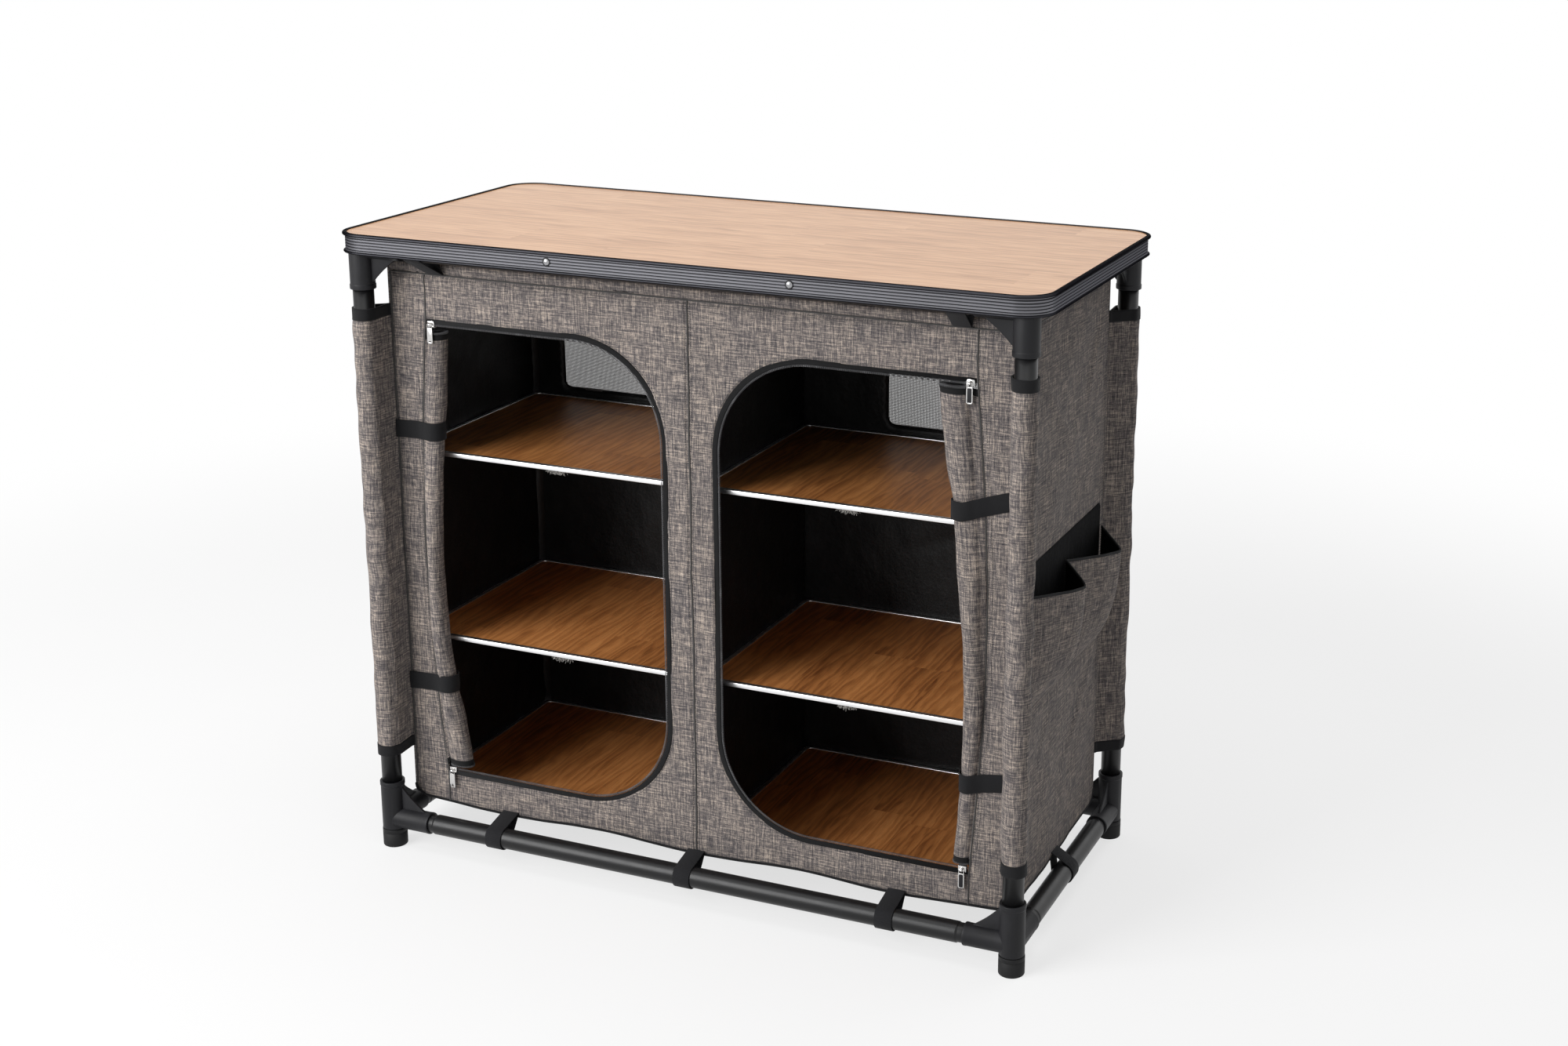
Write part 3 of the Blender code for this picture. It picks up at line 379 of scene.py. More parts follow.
@dataclass(frozen=True)
class DrawnMetal:
    """Metal with drawing lines along it, plain or anodised."""

    name: str
    colour: Colour
    streak: Colour
    roughness: float
    lines: tuple[float, float, float] = (0.20, 0.0006, 0.0006)
    metallic: float = 1.0

    def make(self) -> bpy.types.Material:
        """Build the material."""
        paint = Paint(self.name)
        place = paint.place()
        drawn = paint.noise(place, self.lines, 3.0, 0.6)
        smudge = paint.noise(place, (0.045, 0.045, 0.045), 3.0)
        colour = paint.mix(drawn.between(0.35, 0.75), self.colour, self.streak)
        return paint.finish(Base_Color=colour, Metallic=self.metallic,
                            Roughness=smudge * 0.12 + drawn * 0.10 + self.roughness,
                            Normal=paint.bump(drawn, 0.00006, 0.35))


@dataclass(frozen=True)
class RibbedRail:
    """Black anodised edge rail: satin ribs between two smooth beads, with painted shade in the grooves between the
    ribs.
    """

    name: str
    ribs_top: float
    ribs_bottom: float
    count: int
    bead: Colour = (0.028, 0.028, 0.032)
    rib: Colour = (0.158, 0.158, 0.172)
    valley: Colour = (0.020, 0.020, 0.022)
    grazing: Colour = (0.25, 0.25, 0.25)
    edge: float = 0.0005

    def make(self) -> bpy.types.Material:
        """Build the material."""
        paint = Paint(self.name)
        place = paint.place()
        height = paint.part(place, "Z")
        pitch = (self.ribs_top - self.ribs_bottom) / self.count
        wave = ((height - self.ribs_top) * (math.tau / pitch)).cosine() * 0.5 + 0.5
        low = height.between(self.ribs_bottom - self.edge, self.ribs_bottom + self.edge)
        ribbed = low - height.between(self.ribs_top - self.edge, self.ribs_top + self.edge)
        drawn = paint.noise(place, (0.20, 0.20, 0.0040), 2.0, 0.5)
        smudge = paint.noise(place, (0.045, 0.045, 0.045), 3.0)
        # Painted shade: the grooves between the ribs are coloured darker, worked out from the height, where their shade
        # falls.
        ribs_and_painted_groove_shade = paint.mix(wave.between(0.03, 0.30), self.valley, self.rib)
        return paint.finish(Base_Color=paint.mix(ribbed, self.bead, ribs_and_painted_groove_shade), Metallic=1.0, Specular_Tint=self.grazing,
                            Roughness=smudge * 0.12 + drawn * 0.06 + 0.29,
                            Normal=paint.bump(drawn, 0.00005, 0.2))


@dataclass(frozen=True)
class Nickel:
    """Bright plated casting with faint waves."""

    name: str = "bright_nickel"
    colour: Colour = (0.64, 0.63, 0.62)
    dull: Colour = (0.42, 0.41, 0.40)

    def make(self) -> bpy.types.Material:
        """Build the material."""
        paint = Paint(self.name)
        place = paint.place()
        cast = paint.noise(place, (0.003, 0.003, 0.003), 3.0)
        return paint.finish(Base_Color=paint.mix(cast.between(0.5, 0.8), self.colour, self.dull),
                            Metallic=1.0, Roughness=cast * 0.15 + 0.10,
                            Normal=paint.bump(cast, 0.0001, 0.4))


class Grain(Enum):
    """Which way the grain of a board runs, as cell sizes that follow it."""

    ALONG_X = "X"
    ALONG_Y = "Y"


@dataclass(frozen=True)
class WoodPrint:
    """Printed wood decor of narrow staves under a clear coat."""

    name: str
    grain: Grain
    pale: Colour
    middle: Colour
    deep: Colour
    stave_width: float
    stave_length: float
    gloss: float
    stave_share: float
    contrast: float = 1.0

    def _laid(self, along: float, across: float) -> tuple[float, float, float]:
        """Cell sizes turned to the grain."""
        return (along, across, 1.0) if self.grain is Grain.ALONG_X else (across, along, 1.0)

    def _level(self) -> float:
        """Shift that keeps the middle tone in the middle of the ramp."""
        return 0.02 - self.stave_share / 2

    def make(self) -> bpy.types.Material:
        """Build the material."""
        paint = Paint(self.name)
        place = paint.place()
        across_axis = "Y" if self.grain is Grain.ALONG_X else "X"
        across = paint.part(place, across_axis)
        along = paint.part(place, self.grain.value)
        row = (across / self.stave_width).floor()
        jog = paint.node("ShaderNodeTexWhiteNoise", {"noise_dimensions": "1D"}, {"W": row})
        board = (along / self.stave_length + jog * 5.0).floor()
        stave = paint.node("ShaderNodeTexWhiteNoise", {"noise_dimensions": "1D"},
                           {"W": row * 7.31 + board * 3.17})
        shift = paint.node("ShaderNodeCombineXYZ", inputs={0: stave * 3.0, 1: stave * 7.0, 2: stave * 5.0})
        laid = paint.vector("ADD", place, shift)
        broad = paint.noise(laid, self._laid(0.16, 0.022), 3.0, 0.55)
        rings = (paint.part(laid, across_axis) * (math.tau / 0.012) + broad * 26.0).sine() * 0.5 + 0.5
        fibre = paint.noise(laid, self._laid(0.045, 0.0016), 4.0, 0.65)
        pores = paint.noise(laid, self._laid(0.010, 0.0007), 2.0, 0.5).between(0.60, 0.76)
        depth = broad * 0.50 + rings * 0.16 + fibre * 0.30 + stave * self.stave_share + self._level()
        colour = paint.ramp(depth, [(0.5 - 0.24 / self.contrast, self.pale), (0.5, self.middle),
                                    (0.5 + 0.24 / self.contrast, self.deep)])
        inked = paint.mix(pores * 0.22, colour, self.deep)
        height = fibre * 0.6 + pores * 0.4
        return paint.finish(Base_Color=inked, Roughness=fibre * 0.12 + self.gloss,
                            Specular_IOR_Level=0.5, Normal=paint.bump(height, 0.00008, 0.3))


@dataclass(frozen=True)
class WindowNet:
    """Open net of fine grey threads."""

    name: str = "window_net"
    colour: Colour = (0.26, 0.26, 0.27)
    hole: float = 0.0016
    thread_share: float = 0.52

    def make(self) -> bpy.types.Material:
        """Build the material."""
        paint = Paint(self.name)
        weave = paint.weave()
        limit = math.cos(math.pi * self.thread_share / 2)
        masks = []
        for axis in ("X", "Y"):
            wave = (paint.part(weave, axis) * (math.pi / self.hole)).cosine()
            masks.append((wave * wave).between(limit * limit - 0.06, limit * limit + 0.06))
        thread = masks[0] + masks[1] - masks[0] * masks[1]
        lint = paint.noise(weave, (0.006, 0.006, 1.0), 3.0)
        return paint.finish(Base_Color=paint.mix(lint, self.colour, (0.36, 0.36, 0.37)), Alpha=thread,
                            Roughness=0.75, Normal=paint.bump(thread, 0.0003, 0.5))


@dataclass(frozen=True)
class PlainThread:
    """Sewing thread or loose fluff in one yarn colour, mottled along it."""

    name: str
    colour: Colour
    pale: Colour

    def make(self) -> bpy.types.Material:
        """Build the material."""
        paint = Paint(self.name)
        mottle = paint.noise(paint.place(), (0.0015, 0.0015, 0.0015), 2.0)
        return paint.finish(Base_Color=paint.mix(mottle, self.colour, self.pale), Roughness=0.8,
                            Sheen_Weight=0.2, Normal=paint.bump(mottle, 0.0001, 0.4))


@dataclass(frozen=True)
class StudioFloor:
    """White sweep that keeps the shadows and shows as white far away."""

    name: str = "studio_floor"
    lit_share: float = 0.70
    fade_start: float = 1.2
    fade_end: float = 2.6

    def make(self) -> bpy.types.Material:
        """Build the material."""
        paint = Paint(self.name)
        place = paint.place()
        tone = paint.noise(place, (0.4, 0.4, 0.4), 2.0)
        colour = paint.mix(tone, (0.86, 0.86, 0.86), (0.90, 0.90, 0.90))
        matt = paint.node("ShaderNodeBsdfDiffuse", inputs={0: colour})
        white = paint.node("ShaderNodeEmission", inputs={0: (1.0, 1.0, 1.0, 1.0), 1: 1.0})
        reach = paint.vector("LENGTH", place, (0.0, 0.0, 0.0), "Value")
        seen = paint.node("ShaderNodeLightPath", output="Is Camera Ray")
        mirrored = paint.node("ShaderNodeLightPath", output="Is Glossy Ray")
        passed = paint.node("ShaderNodeLightPath", output="Is Transmission Ray")
        far = reach.between(self.fade_start, self.fade_end)
        share = (seen + mirrored + passed) * (far * (1 - self.lit_share) + self.lit_share)
        mixed = paint.node("ShaderNodeMixShader", inputs={0: share, 1: matt, 2: white})
        paint.node("ShaderNodeOutputMaterial", inputs={"Surface": mixed})
        return paint.material


class Finishes:
    """All materials of the cupboard, made once."""

    def __init__(self) -> None:
        """Build each finish."""
        self.cloth = MelangeCloth().make()
        self.webbing = Webbing("black_webbing_tape", 0.0016).make()
        self.binding = Webbing("black_ribbed_binding", 0.0011, (0.0075, 0.0075, 0.0085),
                               (0.016, 0.016, 0.018)).make()
        self.zip_tape = Webbing("black_zip_tape", 0.0007, (0.0055, 0.0055, 0.0060), (0.012, 0.012, 0.013)).make()
        self.lining = CoatedLining().make()
        self.pocket_lining = CoatedLining("matt_pocket_lining", (0.0045, 0.0045, 0.0050),
                                          (0.0080, 0.0080, 0.0085), 0.70, 0.05).make()
        self.tube = SatinPaint().make()
        self.plastic = MouldedPlastic("black_moulded_plastic").make()
        self.rubber = MouldedPlastic("black_foot_rubber", (0.0070, 0.0070, 0.0075), (0.013, 0.013, 0.014),
                                     0.55).make()
        # The zip coil is black nylon; its grey colours are a painted glint that stands in for the highlights on its
        # teeth.
        self.coil = MouldedPlastic("black_zip_coil", (0.110, 0.110, 0.115), (0.240, 0.240, 0.250),
                                   0.26).make()
        self.edge_rail = RibbedRail("black_anodised_rail", 0.8844, 0.8648, 5).make()
        self.trim = DrawnMetal("bright_edge_strip", (0.78, 0.78, 0.79), (0.90, 0.90, 0.90), 0.22).make()
        self.nickel = Nickel().make()
        self.rivet = Nickel("dull_rivet", (0.36, 0.36, 0.37), (0.22, 0.22, 0.23)).make()
        self.table_wood = WoodPrint("beech_table_print", Grain.ALONG_X, (0.71, 0.430, 0.240),
                                    (0.57, 0.310, 0.155), (0.36, 0.170, 0.072), 0.085, 0.70, 0.24, 0.06).make()
        self.shelf_wood = WoodPrint("brown_shelf_print", Grain.ALONG_Y, (0.60, 0.255, 0.080),
                                    (0.41, 0.158, 0.045), (0.175, 0.058, 0.015), 0.060, 0.42, 0.36,
                                    0.16, 1.1).make()
        self.net = WindowNet().make()
        self.thread = PlainThread("dark_sewing_thread", (0.020, 0.019, 0.019), (0.045, 0.042, 0.039)).make()
        self.fluff = PlainThread("grey_hook_fluff", (0.30, 0.29, 0.27), (0.55, 0.53, 0.50)).make()
        self.floor = StudioFloor().make()


@dataclass
class Shape:
    """Points and faces of a piece, with cloth coordinates at each face corner."""

    points: np.ndarray
    faces: list[tuple[int, ...]]
    weave: np.ndarray

    def joined(self, other: "Shape") -> "Shape":
        """Both shapes as one."""
        shift = len(self.points)
        faces = self.faces + [tuple(index + shift for index in face) for face in other.faces]
        return Shape(np.vstack((self.points, other.points)), faces, np.vstack((self.weave, other.weave)))

    def moved(self, matrix: Matrix) -> "Shape":
        """Copy after a move, turn or mirror."""
        turn = np.array(matrix)
        return Shape(self.points @ turn[:3, :3].T + turn[:3, 3], self.faces, self.weave)

    def mesh(self, name: str, closed: bool = True) -> bpy.types.Mesh:
        """Build the mesh.

        Args:
            name: The mesh's name.
            closed: Whether to turn the faces of a closed body outwards.

        Returns:
            The mesh, smooth, with its cloth coordinates.
        """
        mesh = bpy.data.meshes.new(name)
        mesh.from_pydata(self.points.tolist(), [], self.faces)
        layer = mesh.uv_layers.new(name=WEAVE_MAP)
        layer.data.foreach_set("uv", self.weave.astype(np.float32).ravel())
        if closed:
            turn_outwards(mesh)
        mesh.shade_smooth()
        return mesh


def turn_outwards(mesh: bpy.types.Mesh) -> None:
    """Point the faces of a closed mesh outwards."""
    form = bmesh.new()
    form.from_mesh(mesh)
    bmesh.ops.recalc_face_normals(form, faces=form.faces[:])
    form.to_mesh(mesh)
    form.free()


def lengths_along(points: np.ndarray, closed: bool = False) -> np.ndarray:
    """Running length along a line of points, with the closing step if it is closed."""
    line = np.vstack((points, points[:1])) if closed else points
    steps = np.linalg.norm(np.diff(line, axis=0), axis=1)
    return np.concatenate(([0.0], np.cumsum(steps)))


def loft(rings: np.ndarray, closed: bool = True, looped: bool = False, capped: bool = False) -> Shape:
    """Cover rings of points with quads.

    Args:
        rings: Points as an array of stations, points and coordinates.
        closed: Whether each ring closes on itself.
        looped: Whether the last station joins the first.
        capped: Whether the first and last rings are filled.

    Returns:
        The shape, with its coordinates running round the rings and along the stations.
    """
    rings = np.asarray(rings, float)
    stations, count = rings.shape[:2]
    around = lengths_along(rings[stations // 2], closed)
    along = lengths_along(rings.mean(axis=1), looped)
    rows = np.arange(stations if looped else stations - 1)
    columns = np.arange(count if closed else count - 1)
    row, column = (grid.ravel() for grid in np.meshgrid(rows, columns, indexing="ij"))
    next_row, next_column = (row + 1) % stations, (column + 1) % count
    quads = np.stack((row * count + column, row * count + next_column,
                      next_row * count + next_column, next_row * count + column), axis=1)
    corners = np.stack((np.stack((around[column], along[row]), 1),
                        np.stack((around[column + 1], along[row]), 1),
                        np.stack((around[column + 1], along[row + 1]), 1),
                        np.stack((around[column], along[row + 1]), 1)), axis=1).reshape(-1, 2)
    faces = [tuple(quad) for quad in quads.tolist()]
    if capped:
        for start in (0, (stations - 1) * count):
            faces.append(tuple(range(start, start + count)))
            corners = np.vstack((corners, rings.reshape(-1, 3)[start:start + count, :2]))
    return Shape(rings.reshape(-1, 3), faces, corners)


def turned(profile: Sequence[Flat], steps: int = 56) -> Shape:
    """Body turned round Z from an open profile of (radius, height), closed at its ends."""
    angles = np.linspace(0.0, math.tau, steps, endpoint=False)
    rings = [[(radius * math.cos(angle), radius * math.sin(angle), height) for angle in angles]
             for radius, height in profile]
    return loft(np.array(rings), capped=True)


def turned_tube(profile: Sequence[Flat], steps: int = 56) -> Shape:
    """Hollow body turned round Z from a closed profile of (radius, height)."""
    angles = np.linspace(0.0, math.tau, steps, endpoint=False)
    rings = [[(radius * math.cos(angle), radius * math.sin(angle), height) for angle in angles]
             for radius, height in profile]
    return loft(np.array(rings), looped=True)


def arc(middle: Flat, radius: float, start: float, sweep: float, steps: int) -> list[Flat]:
    """Points on an arc, with angles in degrees."""
    angles = np.radians(start + sweep * np.linspace(0.0, 1.0, steps + 1))
    return [(middle[0] + radius * math.cos(angle), middle[1] + radius * math.sin(angle))
            for angle in angles]


def rounded_box(low: Flat, high: Flat, radius: float, steps: int) -> list[Flat]:
    """Outline of a rectangle with rounded corners, anticlockwise from its right side."""
    outline: list[Flat] = []
    for quarter, (u, v) in enumerate(((high[0] - radius, high[1] - radius), (low[0] + radius, high[1] - radius),
                                      (low[0] + radius, low[1] + radius), (high[0] - radius, low[1] + radius))):
        outline += arc((u, v), radius, 90.0 * quarter, 90.0, steps)
    return outline


def resampled(points: Sequence[Sequence[float]], spacing: float, closed: bool = False) -> np.ndarray:
    """Points evenly spaced along a line, ends kept."""
    line = np.asarray(points, float)
    run = lengths_along(line, closed)
    if closed:
        line = np.vstack((line, line[:1]))
    count = max(2, round(run[-1] / spacing) + 1)
    places = np.linspace(0.0, run[-1], count)
    if closed:
        places = places[:-1]
    return np.stack([np.interp(places, run, line[:, axis]) for axis in range(line.shape[1])], axis=1)


def eased(points: np.ndarray, passes: int) -> np.ndarray:
    """Open line with its kinks eased, ends kept."""
    line = points.copy()
    for _ in range(passes):
        line[1:-1] = (line[:-2] + 2 * line[1:-1] + line[2:]) / 4
    return line


def inside(points: np.ndarray, loop: np.ndarray) -> np.ndarray:
    """Whether each point lies inside a closed outline."""
    u0, v0 = loop[:, 0], loop[:, 1]
    u1, v1 = np.roll(u0, -1), np.roll(v0, -1)
    rise = np.where(v1 == v0, 1.0, v1 - v0)
    found = []
    for part in np.array_split(points, len(points) // 2000 + 1):
        u, v = part[:, :1], part[:, 1:]
        crossings = ((v0 > v) != (v1 > v)) & (u < (u1 - u0) * (v - v0) / rise + u0)
        found.append(crossings.sum(axis=1) % 2 == 1)
    return np.concatenate(found)


def distance_to(points: np.ndarray, line: np.ndarray, closed: bool = False) -> np.ndarray:
    """Distance from each point to a line of points."""
    ends = np.roll(line, -1, axis=0) if closed else line[1:]
    starts = line if closed else line[:-1]
    nearest = np.full(len(points), np.inf)
    for start, end in zip(starts, ends):
        step = end - start
        share = np.clip(((points - start) @ step) / max(step @ step, 1e-12), 0.0, 1.0)
        nearest = np.minimum(nearest, np.linalg.norm(points - start - share[:, None] * step, axis=1))
    return nearest


def cut_cloth(outline: Sequence[Flat], holes: Sequence[Sequence[Flat]], spacing: float) -> tuple[
        np.ndarray, list[tuple[int, ...]]]:
    """Fill an outline with evenly spaced triangles.

    Args:
        outline: The cloth's edge.
        holes: Openings in it.
        spacing: Distance between points.

    Returns:
        Flat points and triangles.
    """
    loops = [resampled(loop, spacing, closed=True) for loop in (outline, *holes)]
    low, high = loops[0].min(axis=0), loops[0].max(axis=0)
    across = np.arange(low[0] + spacing / 2, high[0], spacing)
    rows = np.arange(low[1] + spacing / 2, high[1], spacing * math.sqrt(3) / 2)
    grid = np.array([(u + (index % 2) * spacing / 2, v) for index, v in enumerate(rows) for u in across])
    keep = inside(grid, loops[0])
    for loop in loops[1:]:
        keep &= ~inside(grid, loop)
    for loop in loops:
        keep &= distance_to(grid, loop, closed=True) > spacing * 0.55
    edges, start = [], 0
    for loop in loops:
        count = len(loop)
        edges += [(start + index, start + (index + 1) % count) for index in range(count)]
        start += count
    points = np.vstack((*loops, grid[keep]))
    found = delaunay_2d_cdt([Vector(point) for point in points], edges, [], 0, 1e-7)
    flat = np.array([tuple(point) for point in found[0]])
    faces = np.array([tuple(face) for face in found[2]])
    middles = flat[faces].mean(axis=1)
    wanted = inside(middles, loops[0])
    for loop in loops[1:]:
        wanted &= ~inside(middles, loop)
    return flat, [tuple(face) for face in faces[wanted].tolist()]


def ripple(u: np.ndarray, v: np.ndarray, seed: int, wavelength: float, lean: float = 0.0) -> np.ndarray:
    """Smooth random relief of about unit height.

    Args:
        u: Places across.
        v: Places up.
        seed: Seed of the waves.
        wavelength: Usual distance between crests.
        lean: From 0, crests any way, to 1, crests all upright.

    Returns:
        The relief at each place.
    """
    chance = np.random.default_rng(seed)
    total = np.zeros_like(u)
    waves = 18
    for _ in range(waves):
        heading = chance.uniform(-math.pi, math.pi) * (1 - lean)
        length = wavelength * chance.uniform(0.6, 1.8)
        phase = chance.uniform(0.0, math.tau)
        total += np.sin((u * math.cos(heading) + v * math.sin(heading)) * math.tau / length + phase)
    return total / math.sqrt(waves)


def fold(u: np.ndarray, v: np.ndarray, start: Flat, end: Flat, width: float) -> np.ndarray:
    """Relief of one fold, of unit height in its middle and gone at its ends."""
    step_u, step_v = end[0] - start[0], end[1] - start[1]
    long = math.hypot(step_u, step_v)
    share = ((u - start[0]) * step_u + (v - start[1]) * step_v) / long ** 2
    off = ((u - start[0]) * step_v - (v - start[1]) * step_u) / long
    return np.exp(-(off / width) ** 2) * np.clip(4 * share * (1 - share), 0.0, 1.0)


def apart(u: np.ndarray, v: np.ndarray, low: Flat, high: Flat) -> np.ndarray:
    """Distance of places from an upright rectangle, none inside it."""
    off_u = np.maximum(np.maximum(low[0] - u, u - high[0]), 0.0)
    off_v = np.maximum(np.maximum(low[1] - v, v - high[1]), 0.0)
    return np.hypot(off_u, off_v)


def groove(distance: np.ndarray, width: float) -> np.ndarray:
    """Unit dip of a sewn seam at a distance from its line."""
    return np.exp(-(distance / width) ** 2)


def ribbon(path: np.ndarray, across: np.ndarray, width: float, thickness: float,
           looped: bool = False) -> Shape:
    """Flat band along a path.

    Args:
        path: Middle line of the band.
        across: Unit vector across the band, one for all points or one each.
        width: Width of the band.
        thickness: Thickness of the band.
        looped: Whether the band closes on itself.

    Returns:
        The band, with soft edges, its coordinates running across and along it.
    """
    path = np.asarray(path, float)
    across = np.broadcast_to(np.asarray(across, float), path.shape)
    if looped:
        tangent = np.roll(path, -1, axis=0) - np.roll(path, 1, axis=0)
    else:
        tangent = np.gradient(path, axis=0)
    normal = np.cross(tangent, across)
    normal /= np.linalg.norm(normal, axis=1)[:, None]
    soft = thickness * 0.4
    half, deep = width / 2, thickness / 2
    profile = []
    for u, v, start in ((half - soft, deep - soft, 0), (soft - half, deep - soft, 90),
                        (soft - half, soft - deep, 180), (half - soft, soft - deep, 270)):
        profile += arc((u, v), soft, start, 90, 2)
    rings = [point + u * side + v * up for point, side, up in zip(path, across, normal)
             for u, v in profile]
    return loft(np.array(rings).reshape(len(path), len(profile), 3), looped=looped, capped=not looped)


class Growth(Nodes):
    """Geometry Nodes tree that grows a repeated detail on a source mesh."""

    def __init__(self, name: str, inputs: dict[str, str]) -> None:
        """Make the tree with named inputs.

        Args:
            name: The tree's name.
            inputs: Socket types by input name.
        """
        group = bpy.data.node_groups.new(name, "GeometryNodeTree")
        super().__init__(group)
        group.interface.new_socket("Geometry", in_out="OUTPUT", socket_type="NodeSocketGeometry")
        group.interface.new_socket("Geometry", in_out="INPUT", socket_type="NodeSocketGeometry")
        self.identifiers = {}
        for label, kind in {**inputs, "Finish": "NodeSocketMaterial"}.items():
            item = group.interface.new_socket(label, in_out="INPUT", socket_type=kind)
            self.identifiers[label] = item.identifier

    def given(self, label: str) -> Shade:
        """Value of a named input."""
        return self.node("NodeGroupInput", output=label)

    def close(self, geometry: Shade) -> None:
        """End the tree in Realize Instances and Set Material."""
        real = self.node("GeometryNodeRealizeInstances", inputs={"Geometry": geometry})
        coloured = self.node("GeometryNodeSetMaterial",
                             inputs={"Geometry": real, "Material": self.given("Finish")})
        self.node("NodeGroupOutput", inputs={0: coloured})

    def grow(self, name: str, source: bpy.types.Mesh, **values: object) -> bpy.types.Mesh:
        """Run the tree on a mesh.

        Args:
            name: Name of the result.
            source: Mesh that the detail grows on.
            values: Values of the named inputs.

        Returns:
            Plain mesh of the detail.
        """
        carrier = bpy.data.objects.new(name, source)
        bpy.context.scene.collection.objects.link(carrier)
        modifier = carrier.modifiers.new("growth", "NODES")
        modifier.node_group = self.tree
        for label, value in values.items():
            modifier[self.identifiers[label]] = value
        evaluated = carrier.evaluated_get(bpy.context.evaluated_depsgraph_get())
        mesh = bpy.data.meshes.new_from_object(evaluated)
        mesh.name = name
        bpy.data.objects.remove(carrier)
        return mesh


def lines_mesh(name: str, lines: Iterable[np.ndarray]) -> bpy.types.Mesh:
    """Mesh of bare edges along lines."""
    points: list[Sequence[float]] = []
    edges: list[tuple[int, int]] = []
    for line in lines:
        start = len(points)
        points += [tuple(point) for point in line]
        edges += [(start + index, start + index + 1) for index in range(len(line) - 1)]
    mesh = bpy.data.meshes.new(name)
    mesh.from_pydata(points, edges, [])
    return mesh


class StitchGrowth(Growth):
    """Rows of lockstitch along seam lines."""

    def __init__(self) -> None:
        """Lay an oval thread at each step of a seam."""
        super().__init__("stitch_growth", {"Pitch": "NodeSocketFloat", "Length": "NodeSocketFloat",
                                           "Thickness": "NodeSocketFloat"})
        curve = self.node("GeometryNodeMeshToCurve", inputs={"Mesh": self.given("Geometry")})
        steps = self.node("GeometryNodeResampleCurve", {"mode": "LENGTH"},
                          {"Curve": curve, "Length": self.given("Pitch")})
        thread = self.node("GeometryNodeMeshUVSphere", inputs={"Segments": 6, "Rings": 4, "Radius": 1.0})
        thickness = self.given("Thickness") * 0.5
        size = self.node("ShaderNodeCombineXYZ",
                         inputs={0: thickness, 1: thickness, 2: self.given("Length") * 0.5})
        oval = self.node("GeometryNodeTransform", inputs={"Geometry": thread, "Scale": size})
        heading = self.node("GeometryNodeInputTangent")
        turn = self.node("FunctionNodeAlignRotationToVector", {"axis": "Z"}, {"Vector": heading})
        laid = self.node("GeometryNodeInstanceOnPoints",
                         inputs={"Points": steps, "Instance": oval, "Rotation": turn})
        self.close(laid)


class CoilGrowth(Growth):
    """Nylon coil of a zip, wound along its line."""

    def __init__(self) -> None:
        """Wind a thin filament round the line in an oval."""
        super().__init__("coil_growth", {
            "Pitch": "NodeSocketFloat", "Width": "NodeSocketFloat", "Height": "NodeSocketFloat",
            "Filament": "NodeSocketFloat", "Facing": "NodeSocketVector"})
        curve = self.node("GeometryNodeMeshToCurve", inputs={"Mesh": self.given("Geometry")})
        pitch = self.given("Pitch")
        steps = self.node("GeometryNodeResampleCurve", {"mode": "LENGTH"},
                          {"Curve": curve, "Length": pitch / 7.0})
        run = self.node("GeometryNodeSplineParameter", output="Length")
        angle = self.node("ShaderNodeMath", {"operation": "DIVIDE"}, {0: run * math.tau, 1: pitch})
        heading = self.node("GeometryNodeInputTangent")
        facing = self.given("Facing")
        aside = self.vector("CROSS_PRODUCT", heading, facing)
        wide = angle.cosine() * self.given("Width") * 0.5
        high = angle.sine() * self.given("Height") * 0.5
        offset = self.vector("ADD", self._scaled(aside, wide), self._scaled(facing, high))
        wound = self.node("GeometryNodeSetPosition", inputs={"Geometry": steps, "Offset": offset})
        circle = self.node("GeometryNodeCurvePrimitiveCircle",
                           inputs={"Resolution": 5, "Radius": self.given("Filament") * 0.5})
        filament = self.node("GeometryNodeCurveToMesh",
                             inputs={"Curve": wound, "Profile Curve": circle, "Fill Caps": True})
        self.close(filament)

    def _scaled(self, vector: Shade, length: Shade) -> Shade:
        """Vector times a number."""
        return self.node("ShaderNodeVectorMath", {"operation": "SCALE"}, {0: vector, "Scale": length})


class StudGrowth(Growth):
    """Domed rivet heads on points."""

    def __init__(self) -> None:
        """Set a flattened dome on each point, turned to face outwards."""
        super().__init__("stud_growth", {"Radius": "NodeSocketFloat", "Rise": "NodeSocketFloat",
                                         "Facing": "NodeSocketVector"})
        dome = self.node("GeometryNodeMeshUVSphere", inputs={"Segments": 24, "Rings": 16, "Radius": 1.0})
        radius = self.given("Radius")
        size = self.node("ShaderNodeCombineXYZ", inputs={0: radius, 1: radius, 2: self.given("Rise")})
        turn = self.node("FunctionNodeAlignRotationToVector", {"axis": "Z"},
                         {"Vector": self.given("Facing")})
        laid = self.node("GeometryNodeInstanceOnPoints", inputs={
            "Points": self.given("Geometry"), "Instance": dome, "Rotation": turn, "Scale": size})
        self.close(laid)


